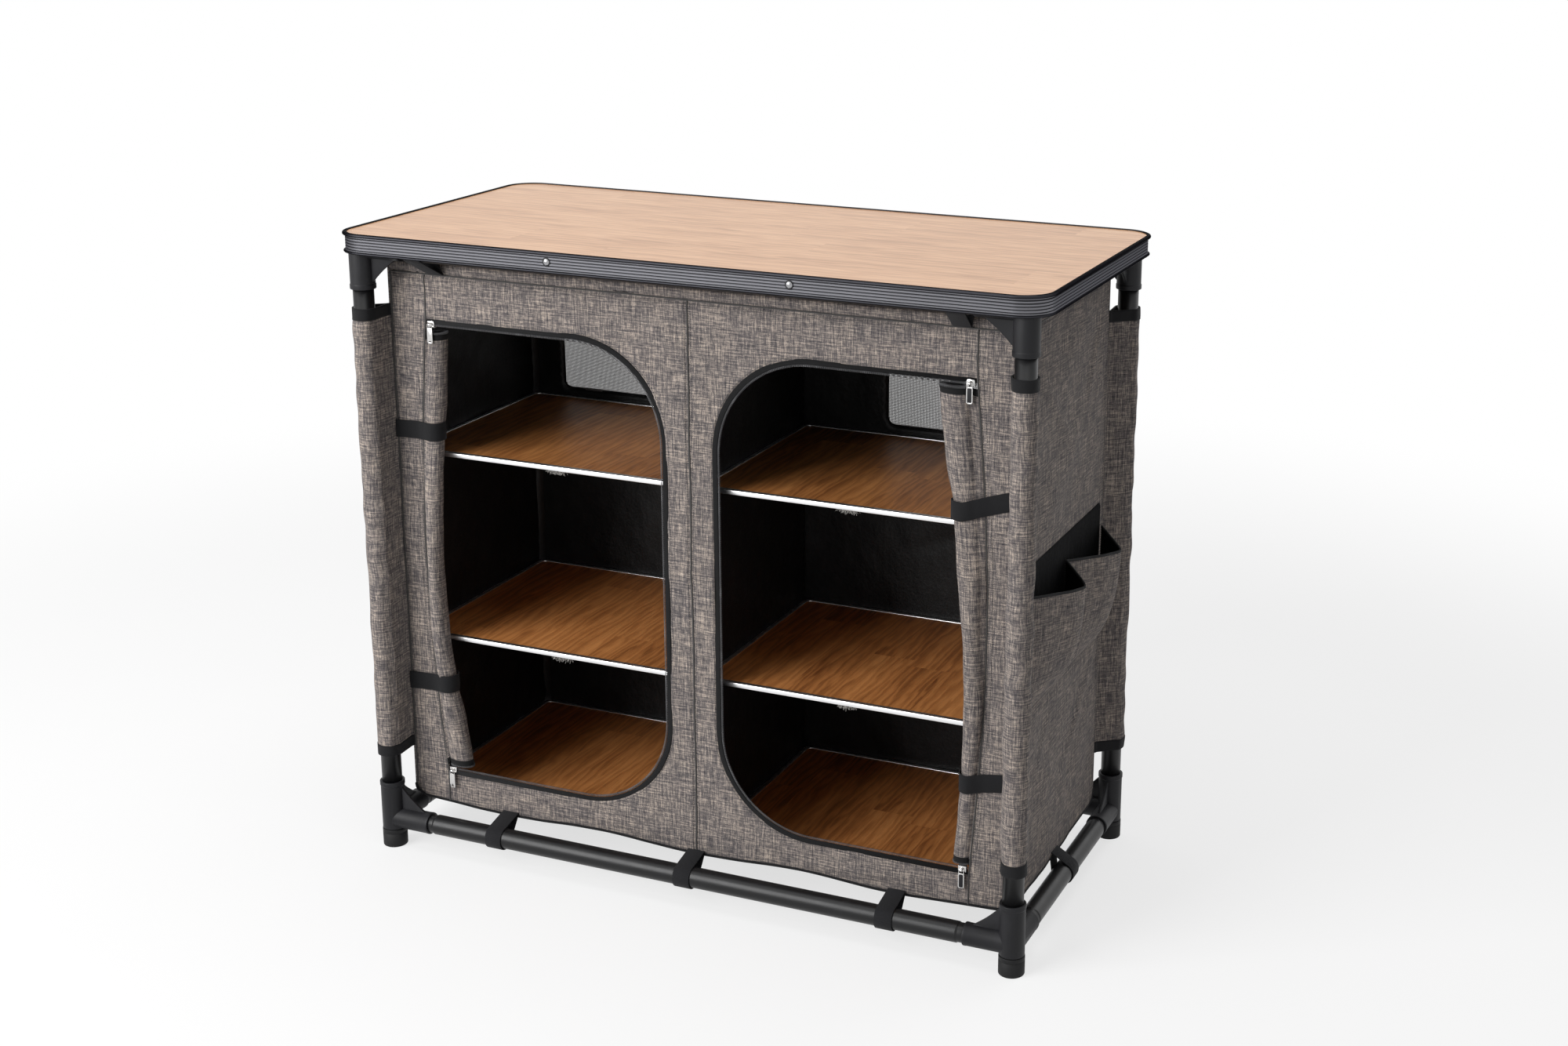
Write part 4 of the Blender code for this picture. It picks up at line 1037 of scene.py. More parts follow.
class TuftGrowth(Growth):
    """Frayed fastener fluff: short strands at random slants on points."""

    def __init__(self) -> None:
        """Put a thin bent strand on each point."""
        super().__init__("tuft_growth", {"Length": "NodeSocketFloat", "Thickness": "NodeSocketFloat",
                                         "Spread": "NodeSocketFloat", "Seed": "NodeSocketInt"})
        length = self.given("Length")
        start = self.node("ShaderNodeCombineXYZ", inputs={0: 0.0, 1: 0.0, 2: 0.0})
        bend = self.node("ShaderNodeCombineXYZ", inputs={0: length * 0.35, 1: 0.0, 2: length * -0.6})
        end = self.node("ShaderNodeCombineXYZ", inputs={0: length * 0.1, 1: length * 0.3, 2: length * -1.0})
        strand = self.node("GeometryNodeCurveQuadraticBezier", inputs={
            "Resolution": 6, "Start": start, "Middle": bend, "End": end})
        circle = self.node("GeometryNodeCurvePrimitiveCircle",
                           inputs={"Resolution": 3, "Radius": self.given("Thickness") * 0.5})
        hair = self.node("GeometryNodeCurveToMesh",
                         inputs={"Curve": strand, "Profile Curve": circle, "Fill Caps": True})
        spread, seed = self.given("Spread"), self.given("Seed")
        slant = self.node("FunctionNodeRandomValue", {"data_type": "FLOAT_VECTOR"}, {
            "Min": self._slant(spread, -1.0), "Max": self._slant(spread, 1.0), "Seed": seed})
        size = self.node("FunctionNodeRandomValue", {"data_type": "FLOAT"},
                         {2: 0.5, 3: 1.2, "Seed": seed}, 1)
        laid = self.node("GeometryNodeInstanceOnPoints", inputs={
            "Points": self.given("Geometry"), "Instance": hair, "Rotation": slant, "Scale": size})
        self.close(laid)

    def _slant(self, spread: Shade, sign: float) -> Shade:
        """Limit of the slant, all the way round the upright."""
        return self.node("ShaderNodeCombineXYZ",
                         inputs={0: spread * sign, 1: spread * sign, 2: math.pi * sign})


@dataclass
class Bench:
    """Puts finished pieces in the scene, hangs them on their bodies and hides the CAD nodes that they stand for."""

    finishes: Finishes = field(default_factory=Finishes)

    def put(self, name: str, mesh: bpy.types.Mesh, finish: bpy.types.Material, slot: str,
            body: str = "frame", nodes: Sequence[str] = ()) -> bpy.types.Object:
        """Add a piece.

        Args:
            name: The piece's name.
            mesh: Its mesh.
            finish: Its material.
            slot: Not used.
            body: Body that it moves with.
            nodes: Nodes that it stands for.

        Returns:
            The piece.
        """
        mesh.materials.clear()
        mesh.materials.append(finish)
        piece = bpy.data.objects.new(name, mesh)
        bpy.context.scene.collection.objects.link(piece)
        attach(piece, body)
        if nodes:
            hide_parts(*nodes)
        LOG.info("made %s with %d faces", name, len(mesh.polygons))
        return piece

    def put_cloth(self, name: str, mesh: bpy.types.Mesh, thickness: float, slot: str, face: bpy.types.Material,
                  back: bpy.types.Material, body: str = "frame", nodes: Sequence[str] = ()
                  ) -> bpy.types.Object:
        """Add a sheet and give it its thickness behind its face.

        Args:
            name: The piece's name.
            mesh: Sheet whose faces look outwards.
            thickness: Thickness of the cloth.
            slot: Not used; only passed on to put.
            face: Material of its outside.
            back: Material of its inside.
            body: Body that it moves with.
            nodes: Nodes that it stands for.

        Returns:
            The piece.
        """
        piece = self.put(name, mesh, face, slot, body, nodes)
        mesh.materials.append(back)
        solid = piece.modifiers.new("thickness", "SOLIDIFY")
        solid.thickness = thickness
        solid.offset = -1.0
        solid.material_offset = 1
        return piece


def plate_mesh(name: str, outline: Sequence[Flat], holes: Sequence[Sequence[Flat]], depth: float,
               soft: float, place: Matrix) -> bpy.types.Mesh:
    """Flat plate with holes and softened edges.

    Args:
        name: The mesh's name.
        outline: Edge of the plate in its own X and Y.
        holes: Openings in it.
        depth: Thickness along its own Z.
        soft: Radius of its edges.
        place: Move from its own axes to the scene.

    Returns:
        The mesh.
    """
    form = bmesh.new()
    for loop in (outline, *holes):
        corners = [form.verts.new((u, v, -depth / 2)) for u, v in loop]
        for corner, following in zip(corners, corners[1:] + corners[:1]):
            form.edges.new((corner, following))
    bmesh.ops.triangle_fill(form, edges=form.edges[:], use_beauty=True)
    grown = bmesh.ops.extrude_face_region(form, geom=form.faces[:])
    lifted = [item for item in grown["geom"] if isinstance(item, bmesh.types.BMVert)]
    bmesh.ops.translate(form, verts=lifted, vec=(0, 0, depth))
    bmesh.ops.dissolve_limit(form, angle_limit=0.01, verts=form.verts[:], edges=form.edges[:])
    bmesh.ops.recalc_face_normals(form, faces=form.faces[:])
    if soft:
        edges = [edge for edge in form.edges if edge.calc_face_angle(0.0) > math.radians(50)]
        bmesh.ops.bevel(form, geom=edges, offset=soft, segments=2, profile=0.5, affect="EDGES",
                        clamp_overlap=True)
    mesh = bpy.data.meshes.new(name)
    form.to_mesh(mesh)
    form.free()
    mesh.transform(place)
    mesh.uv_layers.new(name=WEAVE_MAP)
    mesh.shade_smooth()
    mesh.set_sharp_from_angle(angle=math.radians(32))
    return mesh


def axes(across: Sequence[float], up: Sequence[float], origin: Sequence[float] = (0, 0, 0)) -> Matrix:
    """Move from a drawing plane with these directions to the scene."""
    u, v = Vector(across), Vector(up)
    return Matrix.Translation(origin) @ Matrix((u, v, u.cross(v))).transposed().to_4x4()


def merged(name: str, meshes: Iterable[bpy.types.Mesh]) -> bpy.types.Mesh:
    """One mesh of several closed bodies."""
    form = bmesh.new()
    for mesh in meshes:
        form.from_mesh(mesh)
    result = bpy.data.meshes.new(name)
    form.to_mesh(result)
    form.free()
    return result


def united(name: str, base: bpy.types.Mesh, joined: Sequence[bpy.types.Mesh],
           cut: Sequence[bpy.types.Mesh]) -> bpy.types.Mesh:
    """Join meshes to a base and cut others from it.

    Args:
        name: The mesh's name.
        base: First body.
        joined: Bodies to add.
        cut: Bodies to take away.

    Returns:
        What is left.
    """
    body = bpy.data.objects.new(name, base)
    bpy.context.scene.collection.objects.link(body)
    helpers = []
    for operation, meshes in (("UNION", joined), ("DIFFERENCE", cut)):
        for mesh in meshes:
            helper = bpy.data.objects.new("helper", mesh)
            bpy.context.scene.collection.objects.link(helper)
            step = body.modifiers.new(operation.lower(), "BOOLEAN")
            step.operation, step.solver, step.object = operation, "EXACT", helper
            helpers.append(helper)
    evaluated = body.evaluated_get(bpy.context.evaluated_depsgraph_get())
    mesh = bpy.data.meshes.new_from_object(evaluated)
    mesh.name = name
    for item in (body, *helpers):
        bpy.data.objects.remove(item)
    mesh.shade_smooth()
    mesh.set_sharp_from_angle(angle=math.radians(30))
    return mesh


def moved(mesh: bpy.types.Mesh, matrix: Matrix) -> bpy.types.Mesh:
    """Copy of a mesh after a move or turn."""
    copy = mesh.copy()
    copy.transform(matrix)
    return copy


@dataclass
class TubeStand:
    """Legs, rails, three-way connectors and levelling feet."""

    bench: Bench
    leg_x: float = 0.468
    leg_y: float = 0.213
    low_rail: float = 0.042
    high_rail: float = 0.8689
    tube: float = 0.014
    wall: float = 0.0012
    neck: float = 0.0129
    socket: float = 0.0167
    socket_reach: float = 0.057
    socket_seat: float = 0.004
    arm: float = 0.0155
    arm_reach: float = 0.064
    plug_end: float = 0.024
    gap: float = 0.0003
    gusset: float = 0.004
    foot: float = 0.0172
    stud: float = 0.005

    def _leg(self) -> Shape:
        """Plain tube between two sockets."""
        low = self.low_rail + self.socket_seat + self.gap
        high = self.high_rail - self.socket_seat - self.gap
        inner = self.tube - self.wall
        return turned_tube([(inner, low), (self.tube, low), (self.tube, high), (inner, high)])

    def _rail(self, reach: float) -> Shape:
        """Tube drawn in at both ends where it enters its connectors."""
        shoulder = reach - self.arm_reach - 0.010
        half = reach - self.plug_end - self.gap
        outer = [(self.tube, shoulder - 0.001)]
        for step in range(9):
            share = step / 8
            narrowed = self.tube - (self.tube - self.neck) * (1 - math.cos(math.pi * share)) / 2
            outer.append((narrowed, shoulder + 0.0032 * share))
        outer.append((self.neck, half))
        inner = self.neck - self.wall
        profile = [(radius, -height) for radius, height in reversed(outer)] + outer
        return turned_tube([(inner, -half), *profile, (inner, half)])

    def _connector(self) -> bpy.types.Mesh:
        """Socket with two arms, a collar at each mouth and webs in the angles."""
        base, top, mouth = -self.arm, self.socket_reach, self.socket + 0.0007
        socket = turned([(0.0, base), *arc((self.socket - 0.0016, base + 0.0016), 0.0016, -90, 90, 4),
                         (self.socket, top - 0.0072), (mouth, top - 0.0060),
                         *arc((mouth - 0.0010, top - 0.0010), 0.0010, 0, 90, 4), (0.0, top)])
        end, slim = self.arm_reach, self.arm - 0.0003
        arm = turned([(0.0, 0.0), (slim, 0.0), (slim, end - 0.0046), (self.arm, end - 0.0036),
                      *arc((self.arm - 0.0009, end - 0.0009), 0.0009, 0, 90, 4), (0.0, end)])
        bores = [turned([(0.0, low), (radius, low), (radius, high), (0.0, high)]).mesh("bore")
                 for radius, low, high in ((self.tube + self.gap, self.socket_seat, top + 0.01),
                                           (self.stud + self.gap, base - 0.01, self.socket_seat + 0.01),
                                           (self.neck + self.gap, self.plug_end, end + 0.01))]
        run = self.socket + 0.036
        web = [(0.0, 0.0), (run, 0.0), (run, slim - 0.0008)]
        for share in np.linspace(0.0, 1.0, 9):
            dip = 0.0012 * math.sin(math.pi * share)
            web.append((run + (self.socket - 0.001 - run) * share - dip,
                        slim + (top - 0.009 - slim) * share - dip))
        web.append((0.0, top - 0.009))
        to_x, to_y = Matrix.Rotation(math.pi / 2, 4, "Y"), Matrix.Rotation(-math.pi / 2, 4, "X")
        arm_mesh = arm.mesh("arm")
        webs = [plate_mesh("web", web, (), self.gusset, 0.0007, axes(way, (0, 0, 1)))
                for way in ((1, 0, 0), (0, 1, 0))]
        return united("connector", socket.mesh("socket"),
                      [moved(arm_mesh, to_x), moved(arm_mesh, to_y), *webs],
                      [bores[0], bores[1], moved(bores[2], to_x), moved(bores[2], to_y)])

    def _foot(self) -> Shape:
        """Round foot with a grip groove, hung on a threaded stud."""
        floor, top = self.arm - self.low_rail, -self.gap
        groove = top - 0.006
        profile = [(0.0, floor + 0.0006), (0.0118, floor + 0.0006), (0.0124, floor),
                   *arc((self.foot - 0.0015, floor + 0.0015), 0.0015, -90, 90, 4)]
        profile += [(self.foot, groove - 0.0010), (self.foot - 0.0006, groove - 0.0005),
                    (self.foot - 0.0006, groove + 0.0005), (self.foot, groove + 0.0010)]
        profile += [*arc((self.foot - 0.0008, top - 0.0008), 0.0008, 0, 90, 3), (self.stud - 0.0003, top)]
        for turn in range(19):
            height = top + 0.0008 + 0.0015 * turn
            profile += [(self.stud - 0.0007, height), (self.stud, height + 0.00075)]
        return turned([*profile, (self.stud - 0.0008, top + 0.030), (0.0, top + 0.030)])

    def build(self) -> None:
        """Make and place every piece of the stand."""
        made = self.bench.finishes
        leg, connector, foot = self._leg(), self._connector(), self._foot()
        quarters = {(-1, -1): 0, (1, -1): 1, (1, 1): 2, (-1, 1): 3}
        for side in Side:
            for end in End:
                corner = f"{side.label}_{end.label}"
                x, y = side.value * self.leg_x, end.value * self.leg_y
                turn = quarters[(side.value, end.value)] * math.pi / 2
                at = Matrix.Translation((x, y, 0))
                self.bench.put(f"smooth_leg_{corner}", leg.moved(at).mesh("leg"), made.tube, "black_tube",
                               nodes=[f"leg_{corner}"])
                low = Matrix.Translation((x, y, self.low_rail)) @ Matrix.Rotation(turn, 4, "Z")
                high = (Matrix.Translation((x, y, self.high_rail))
                        @ Matrix.Rotation(turn + math.pi / 2, 4, "Z") @ Matrix.Rotation(math.pi, 4, "X"))
                for label, place in (("bottom", low), ("top", high)):
                    self.bench.put(f"moulded_{label}_connector_{corner}", moved(connector, place),
                                   made.plastic, "black_plastic", nodes=[f"{label}_connector_{corner}"])
                seat = Matrix.Translation((x, y, self.low_rail - self.arm))
                self.bench.put(f"turned_foot_{corner}", foot.moved(seat).mesh("foot"), made.rubber,
                               "black_plastic", f"foot_{corner}", [f"foot_{corner}"])
        long_rail, short_rail = self._rail(self.leg_x), self._rail(self.leg_y)
        for level, height in ((Level.BOTTOM, self.low_rail), (Level.TOP, self.high_rail)):
            for end in End:
                place = Matrix.Translation((0, end.value * self.leg_y, height)) @ Matrix.Rotation(
                    math.pi / 2, 4, "Y")
                self._put_rail(f"{level.label}_rail_{end.label}", long_rail.moved(place))
            for side in Side:
                place = Matrix.Translation((side.value * self.leg_x, 0, height)) @ Matrix.Rotation(
                    math.pi / 2, 4, "X")
                self._put_rail(f"{level.label}_rail_{side.label}", short_rail.moved(place))

    def _put_rail(self, node: str, rail: Shape) -> None:
        """Place one rail for its node."""
        self.bench.put(f"smooth_{node}", rail.mesh("rail"), self.bench.finishes.tube, "black_tube",
                       nodes=[node])


@dataclass
class TableTop:
    """Laminate board in a ribbed edge rail, with four saddles and their rivets."""

    bench: Bench
    half_x: float = 0.500
    half_y: float = 0.2386
    top: float = 0.889
    corner: float = 0.044
    rim_height: float = 0.0274
    lip: float = 0.006
    lip_thickness: float = 0.001
    bead: float = 0.0035
    wall: float = 0.0012
    board_top: float = 0.8877
    board_thickness: float = 0.003
    grooves: int = 5
    saddle_x: float = 0.170
    saddle_length: float = 0.030
    rail_y: float = 0.213
    rail_z: float = 0.8689
    rivet_z: float = 0.876

    def _profile(self) -> list[Flat]:
        """Cross-section of the edge rail as (outward, height)."""
        top, bottom = self.top, self.top - self.rim_height
        ribs_top, ribs_bottom = top - 0.0046, bottom + 0.0032
        profile: list[Flat] = [(-self.lip, top - self.lip_thickness), (-self.lip, top - 0.0003),
                               (-self.lip + 0.0003, top), (-0.0022, top)]
        profile += [(u, v) for u, v in arc((-0.0022, top - 0.0022), 0.0022, 90, -150, 10)][1:]
        profile += [(-self.bead + 0.0006, ribs_top + 0.0004), (-self.bead, ribs_top)]
        pitch = (ribs_top - ribs_bottom) / self.grooves
        for groove_index in range(self.grooves):
            middle = ribs_top - pitch * (groove_index + 0.5)
            for share in (-1.0, -0.6, -0.2, 0.2, 0.6, 1.0):
                depth = 0.0008 * math.cos(share * math.pi / 2)
                profile.append((-self.bead - depth, middle - 0.0010 * share))
        profile += [(-self.bead, ribs_bottom + 0.0003), (-self.bead + 0.0008, ribs_bottom - 0.0002)]
        profile += [(u, v) for u, v in arc((-0.0022, bottom + 0.0015), 0.0014, 75, -165, 8)]
        inner = -self.bead - self.wall
        profile += [(inner + 0.0003, bottom), (inner, bottom + 0.0003), (inner, top - self.lip_thickness)]
        return profile

    def _ring(self, inset: float, height: float, steps: int = 26) -> np.ndarray:
        """Points round the table at an inset and a height."""
        outline = rounded_box((inset - self.half_x, inset - self.half_y),
                              (self.half_x - inset, self.half_y - inset), self.corner - inset, steps)
        return np.array([(u, v, height) for u, v in outline])

    def _saddle(self, x: float, sign: int) -> bpy.types.Mesh:
        """Half pipe that drops over a top rail, with a web to the edge rail."""
        bore, top, bottom = 0.0143, self.board_top - self.board_thickness - 0.0003, self.rail_z - 0.004
        wall_y = self.half_y - self.bead - self.wall
        outline = [(wall_y, top), (wall_y, bottom), (self.rail_y + bore, bottom)]
        outline += arc((self.rail_y, self.rail_z), bore, 0, 180, 20)
        outline += [(self.rail_y - bore, bottom), (self.rail_y - bore - 0.0015, bottom),
                    (self.rail_y - bore - 0.0015, top)]
        place = axes((0, sign, 0), (0, 0, 1), (x, 0, 0))
        return plate_mesh("saddle", outline, (), self.saddle_length, 0.0004, place)

    def build(self) -> None:
        """Make the board, the edge rail, the saddles and the rivets."""
        made = self.bench.finishes
        profile = self._profile()
        rings = np.array([self._ring(-out, height) for out, height in profile])
        rail = loft(rings.transpose(1, 0, 2), looped=True)
        mesh = rail.mesh("rim")
        mesh.set_sharp_from_angle(angle=math.radians(40))
        self.bench.put("ribbed_edge_rail", mesh, made.edge_rail, "black_edge_rail", "tabletop",
                       ["table_rim"])
        inset, bottom = self.bead + self.wall + 0.0003, self.board_top - self.board_thickness
        board = loft(np.array([self._ring(inset + 0.0003, bottom), self._ring(inset, bottom + 0.0003),
                               self._ring(inset, self.board_top - 0.0003),
                               self._ring(inset + 0.0003, self.board_top)]), capped=True)
        mesh = board.mesh("board")
        mesh.set_sharp_from_angle(angle=math.radians(40))
        self.bench.put("laminate_board", mesh, made.table_wood, "beech_laminate", "tabletop",
                       ["table_panel"])
        saddles = [self._saddle(side.value * self.saddle_x, end.value) for side in Side for end in End]
        self.bench.put("rail_saddles", merged("saddles", saddles), made.plastic, "black_edge_rail",
                       "tabletop")
        studs, washers = StudGrowth(), []
        for end in End:
            face = end.value * (self.half_y - self.bead)
            points = bpy.data.meshes.new("rivet_places")
            points.from_pydata([(side.value * self.saddle_x, face, self.rivet_z) for side in Side], [], [])
            heads = studs.grow("rivets", points, Radius=0.0046, Rise=0.0022,
                               Facing=(0.0, float(end.value), 0.0), Finish=made.rivet)
            self.bench.put(f"rivet_heads_{end.label}", heads, made.rivet, "nickel", "tabletop")
            # A dark plastic ring under each rivet head.
            for side in Side:
                ring = turned_tube([(0.0030, -0.0004), (0.0058, -0.0004), (0.0058, 0.0002),
                                    (0.0054, 0.0005), (0.0030, 0.0005)], 32)
                place = Matrix.Translation((side.value * self.saddle_x, face, self.rivet_z))
                turn = Matrix.Rotation(end.value * -math.pi / 2, 4, "X")
                washers.append(ring.moved(place @ turn).mesh("washer"))
        self.bench.put("rivet_washers", merged("washers", washers), made.plastic, "black_plastic",
                       "tabletop")


@dataclass
class Panel:
    """A flat-cut cloth panel and the plane that it hangs in."""

    name: str
    origin: tuple[float, float, float]
    across: tuple[float, float, float]
    up: tuple[float, float, float]
    outline: Sequence[Flat]
    relief: Relief
    holes: Sequence[Sequence[Flat]] = ()
    spacing: float = 0.005

    def place(self, flat: np.ndarray, lift: float = 0.0) -> np.ndarray:
        """Scene points for flat ones, lifted off the cloth."""
        u, v = flat[:, 0], flat[:, 1]
        normal = np.cross(self.across, self.up)
        height = self.relief(u, v) + lift
        return (np.array(self.origin) + u[:, None] * np.array(self.across)
                + v[:, None] * np.array(self.up) + height[:, None] * normal)

    def shape(self) -> Shape:
        """Cut the panel and hang it."""
        flat, faces = cut_cloth(self.outline, self.holes, self.spacing)
        return Shape(self.place(flat), faces, flat[np.array(faces).ravel()])

    def seam(self, line: Sequence[Flat], lift: float = 0.0003) -> np.ndarray:
        """Scene line over a flat one, with points close together."""
        return self.place(resampled(line, 0.004), lift)

    def piping(self, line: Sequence[Flat], lift: float, width: float, thickness: float) -> Shape:
        """Narrow band on the cloth along a flat line."""
        points = self.seam(line, lift)
        across = np.cross(np.gradient(points, axis=0), np.cross(self.across, self.up))
        return ribbon(points, across / np.linalg.norm(across, axis=1)[:, None], width, thickness)


@dataclass
class CupboardCloth:
    """Outer walls, roof, floor and middle wall, with their seams."""

    bench: Bench
    half_x: float = 0.4525
    half_y: float = 0.179
    bottom: float = 0.060
    side_bottom: float = 0.064
    top: float = 0.846
    corner: float = 0.018
    roof: float = 0.834
    floor: float = 0.068
    seam_height: float = 0.831
    cloth: float = 0.002
    door_inner: float = 0.0315
    door_outer: float = 0.394
    door_low: float = 0.105
    door_high: float = 0.772
    door_corner: float = 0.140
    bow: float = 0.018
    lap: float = 0.0025
    window_low: Flat = (0.129, 0.590)
    window_high: Flat = (0.400, 0.745)
    window_corner: float = 0.012
    shelf_middles: tuple[float, float, float] = (0.5758, 0.3068, 0.0716)
    shelf_reach: float = 0.020
    pocket_low: Flat = (-0.152, 0.322)
    pocket_high: Flat = (0.167, 0.523)
    corner_tape: Flat = (0.44675, 0.17325)
    loop_spacing: float = 0.295
    hem_rise: float = 0.0055
    stitches: list[np.ndarray] = field(default_factory=list)

    def door_bow(self, height: float) -> float:
        """How far the hinge seam bows out at a height."""
        return self.bow * math.sin(math.pi * (height - self.door_low) / (self.door_high - self.door_low))

    def track(self, steps: int = 30) -> list[tuple[Flat, Flat]]:
        """Points of the right opening's zipped edge with their outward directions."""
        middle, run = self.door_inner + self.door_corner, [((self.door_outer, self.door_high), (0.0, 1.0))]
        for height, start in ((self.door_high - self.door_corner, 90), (self.door_low + self.door_corner, 180)):
            for u, v in arc((middle, height), self.door_corner, start, 90, steps):
                run.append(((u, v), ((u - middle) / self.door_corner, (v - height) / self.door_corner)))
        run.append(((self.door_outer, self.door_low), (0.0, -1.0)))
        return run

    def opening(self) -> list[Flat]:
        """Edge of the cloth round the right door opening, lapped over the tape of the zip."""
        zipped = [(u - self.lap * out_u, v - self.lap * out_v) for (u, v), (out_u, out_v) in self.track()[:-1]]
        hinge = [(self.door_outer + self.door_bow(height), height)
                 for height in np.linspace(self.door_low + self.lap, self.door_high - self.lap, 40)[:-1]]
        return zipped + hinge

    def _hitched(self, u: float) -> float:
        """How far the hem rises between the loops that hold it down."""
        off = min(abs(u - place) for place in (-self.loop_spacing, 0.0, self.loop_spacing))
        return self.hem_rise * (1 - math.cos(math.tau * min(off / self.loop_spacing, 0.5))) / 2

    def _wall_outline(self, half: float, bottom: float, rise: float = 0.0, looped: bool = False) -> list[Flat]:
        """Upright wall with round lower corners and a bottom edge that rises to the rear or between loops."""
        ends = self.hem_rise if looped else 0.0
        lower = arc((self.corner - half, bottom + self.corner + ends), self.corner, 180, 90, 8)
        edge = [(u, bottom + rise * max(0.0, (u + half) / (2 * half)) ** 2 + (self._hitched(u) if looped else 0.0))
                for u in np.linspace(self.corner - half, half - self.corner, 60)[1:-1]]
        lift = rise * 0.96 + ends
        lower += edge + arc((half - self.corner, bottom + self.corner + lift), self.corner, 270, 90, 8)
        return lower + [(half, self.top), (-half, self.top)]

    def _front_relief(self, u: np.ndarray, v: np.ndarray) -> np.ndarray:
        """Relief of the front wall: soft bags, puckers at its seams and shelf edges."""
        height = ripple(u, v, 11, 0.20) * 0.0011 + ripple(u, v, 12, 0.045) * 0.00022
        height -= groove(v - self.seam_height, 0.0040) * 0.0015 + groove(u, 0.0036) * 0.0014
        height += groove(v - self.seam_height + 0.009, 0.0050) * 0.0007
        height += groove(np.abs(u) - 0.0055, 0.004) * 0.0006
        pucker = np.sin(u * math.tau / 0.013 + ripple(u, v, 13, 0.06) * 1.5)
        height += pucker * groove(v - self.seam_height + 0.004, 0.010) * 0.00035
        height += np.sin(v * math.tau / 0.016 + ripple(u, v, 14, 0.07)) * groove(u, 0.009) * 0.0003
        edge = np.abs(np.abs(u) - self.half_x)
        height += np.sin(v * math.tau / 0.021 + ripple(u, v, 15, 0.08)) * groove(edge, 0.012) * 0.0005
        for start, end, width, rise in (((0.02, 0.80), (0.25, 0.822), 0.007, 0.0016),
                                        ((-0.40, 0.79), (-0.20, 0.815), 0.008, 0.0018),
                                        ((0.30, 0.812), (0.44, 0.785), 0.007, 0.0020),
                                        ((-0.03, 0.70), (0.03, 0.60), 0.008, 0.0013),
                                        ((-0.03, 0.42), (0.028, 0.50), 0.007, 0.0012),
                                        ((-0.25, 0.086), (0.10, 0.074), 0.006, 0.0015),
                                        ((0.12, 0.072), (0.38, 0.090), 0.006, 0.0016),
                                        ((0.41, 0.70), (0.446, 0.55), 0.006, 0.0016),
                                        ((-0.446, 0.50), (-0.415, 0.36), 0.006, 0.0015)):
            height += fold(u, v, start, end, width) * rise
        return height * self._free(u, self.half_x)

    def _free(self, u: np.ndarray, half: float) -> np.ndarray:
        """How freely a wall moves, from nothing at its corner seams to one."""
        return 1 - groove(np.abs(u) - half, 0.006)

    def _held_out(self, height: np.ndarray, v: np.ndarray) -> np.ndarray:
        """Relief that doesn't go in where the shelves stand behind the wall."""
        near = sum(groove(v - shelf, self.shelf_reach) for shelf in self.shelf_middles)
        return np.maximum(height, 0.0002 - 0.006 * (1 - np.minimum(near, 1.0)))

    def _side_relief(self, u: np.ndarray, v: np.ndarray) -> np.ndarray:
        """Relief of a side wall, pushed out a little by the shelf ends."""
        height = ripple(u, v, 21, 0.17, 0.3) * 0.0016 + ripple(u, v, 22, 0.05) * 0.0003
        height -= groove(v - self.seam_height, 0.0020) * 0.0016
        for shelf in self.shelf_middles[:2]:
            height += groove(v - shelf, 0.006) * 0.0011
        edge = np.abs(np.abs(u) - self.half_y)
        height += np.sin(v * math.tau / 0.024 + ripple(u, v, 23, 0.08)) * groove(edge, 0.012) * 0.0006
        for start, end, width, rise in (((-0.15, 0.80), (0.05, 0.62), 0.010, 0.0026),
                                        ((0.16, 0.80), (0.08, 0.66), 0.009, 0.0024),
                                        ((-0.15, 0.27), (0.10, 0.12), 0.010, 0.0028),
                                        ((0.16, 0.30), (0.02, 0.17), 0.009, 0.0022),
                                        ((0.0, 0.30), (-0.10, 0.22), 0.008, 0.0018)):
            height += fold(u, v, start, end, width) * rise
        height *= 1 - groove(apart(u, v, self.pocket_low, self.pocket_high), 0.014)
        return self._held_out(height * self._free(u, self.half_y), v)

    def _rear_relief(self, u: np.ndarray, v: np.ndarray) -> np.ndarray:
        """Relief of the rear wall, flat at its windows."""
        height = ripple(u, v, 31, 0.22) * 0.0014 + ripple(u, v, 32, 0.06) * 0.0003
        height -= groove(v - self.seam_height, 0.0022) * 0.0016 + groove(u, 0.0018) * 0.0012
        for start, end, width, rise in (((-0.40, 0.50), (-0.15, 0.40), 0.012, 0.0025),
                                        ((0.10, 0.42), (0.38, 0.53), 0.012, 0.0023),
                                        ((-0.30, 0.20), (0.05, 0.26), 0.011, 0.0020)):
            height += fold(u, v, start, end, width) * rise
        height *= 1 - groove(apart(np.abs(u), v, self.window_low, self.window_high), 0.018)
        return self._held_out(height * self._free(u, self.half_x), v)

    def _lining_relief(self, seed: int, sag: float, spans: Flat) -> Relief:
        """Relief of a lining that is creased and sags in its middle."""
        def relief(u: np.ndarray, v: np.ndarray) -> np.ndarray:
            """Creases and sag."""
            bowl = np.cos(np.clip(u / spans[0], -1, 1) * math.pi / 2) * np.cos(
                np.clip(v / spans[1], -1, 1) * math.pi / 2)
            crease = np.abs(ripple(u, v, seed + 1, 0.09))
            return ripple(u, v, seed, 0.12) * 0.0010 - crease * 0.0007 - bowl * sag
        return relief

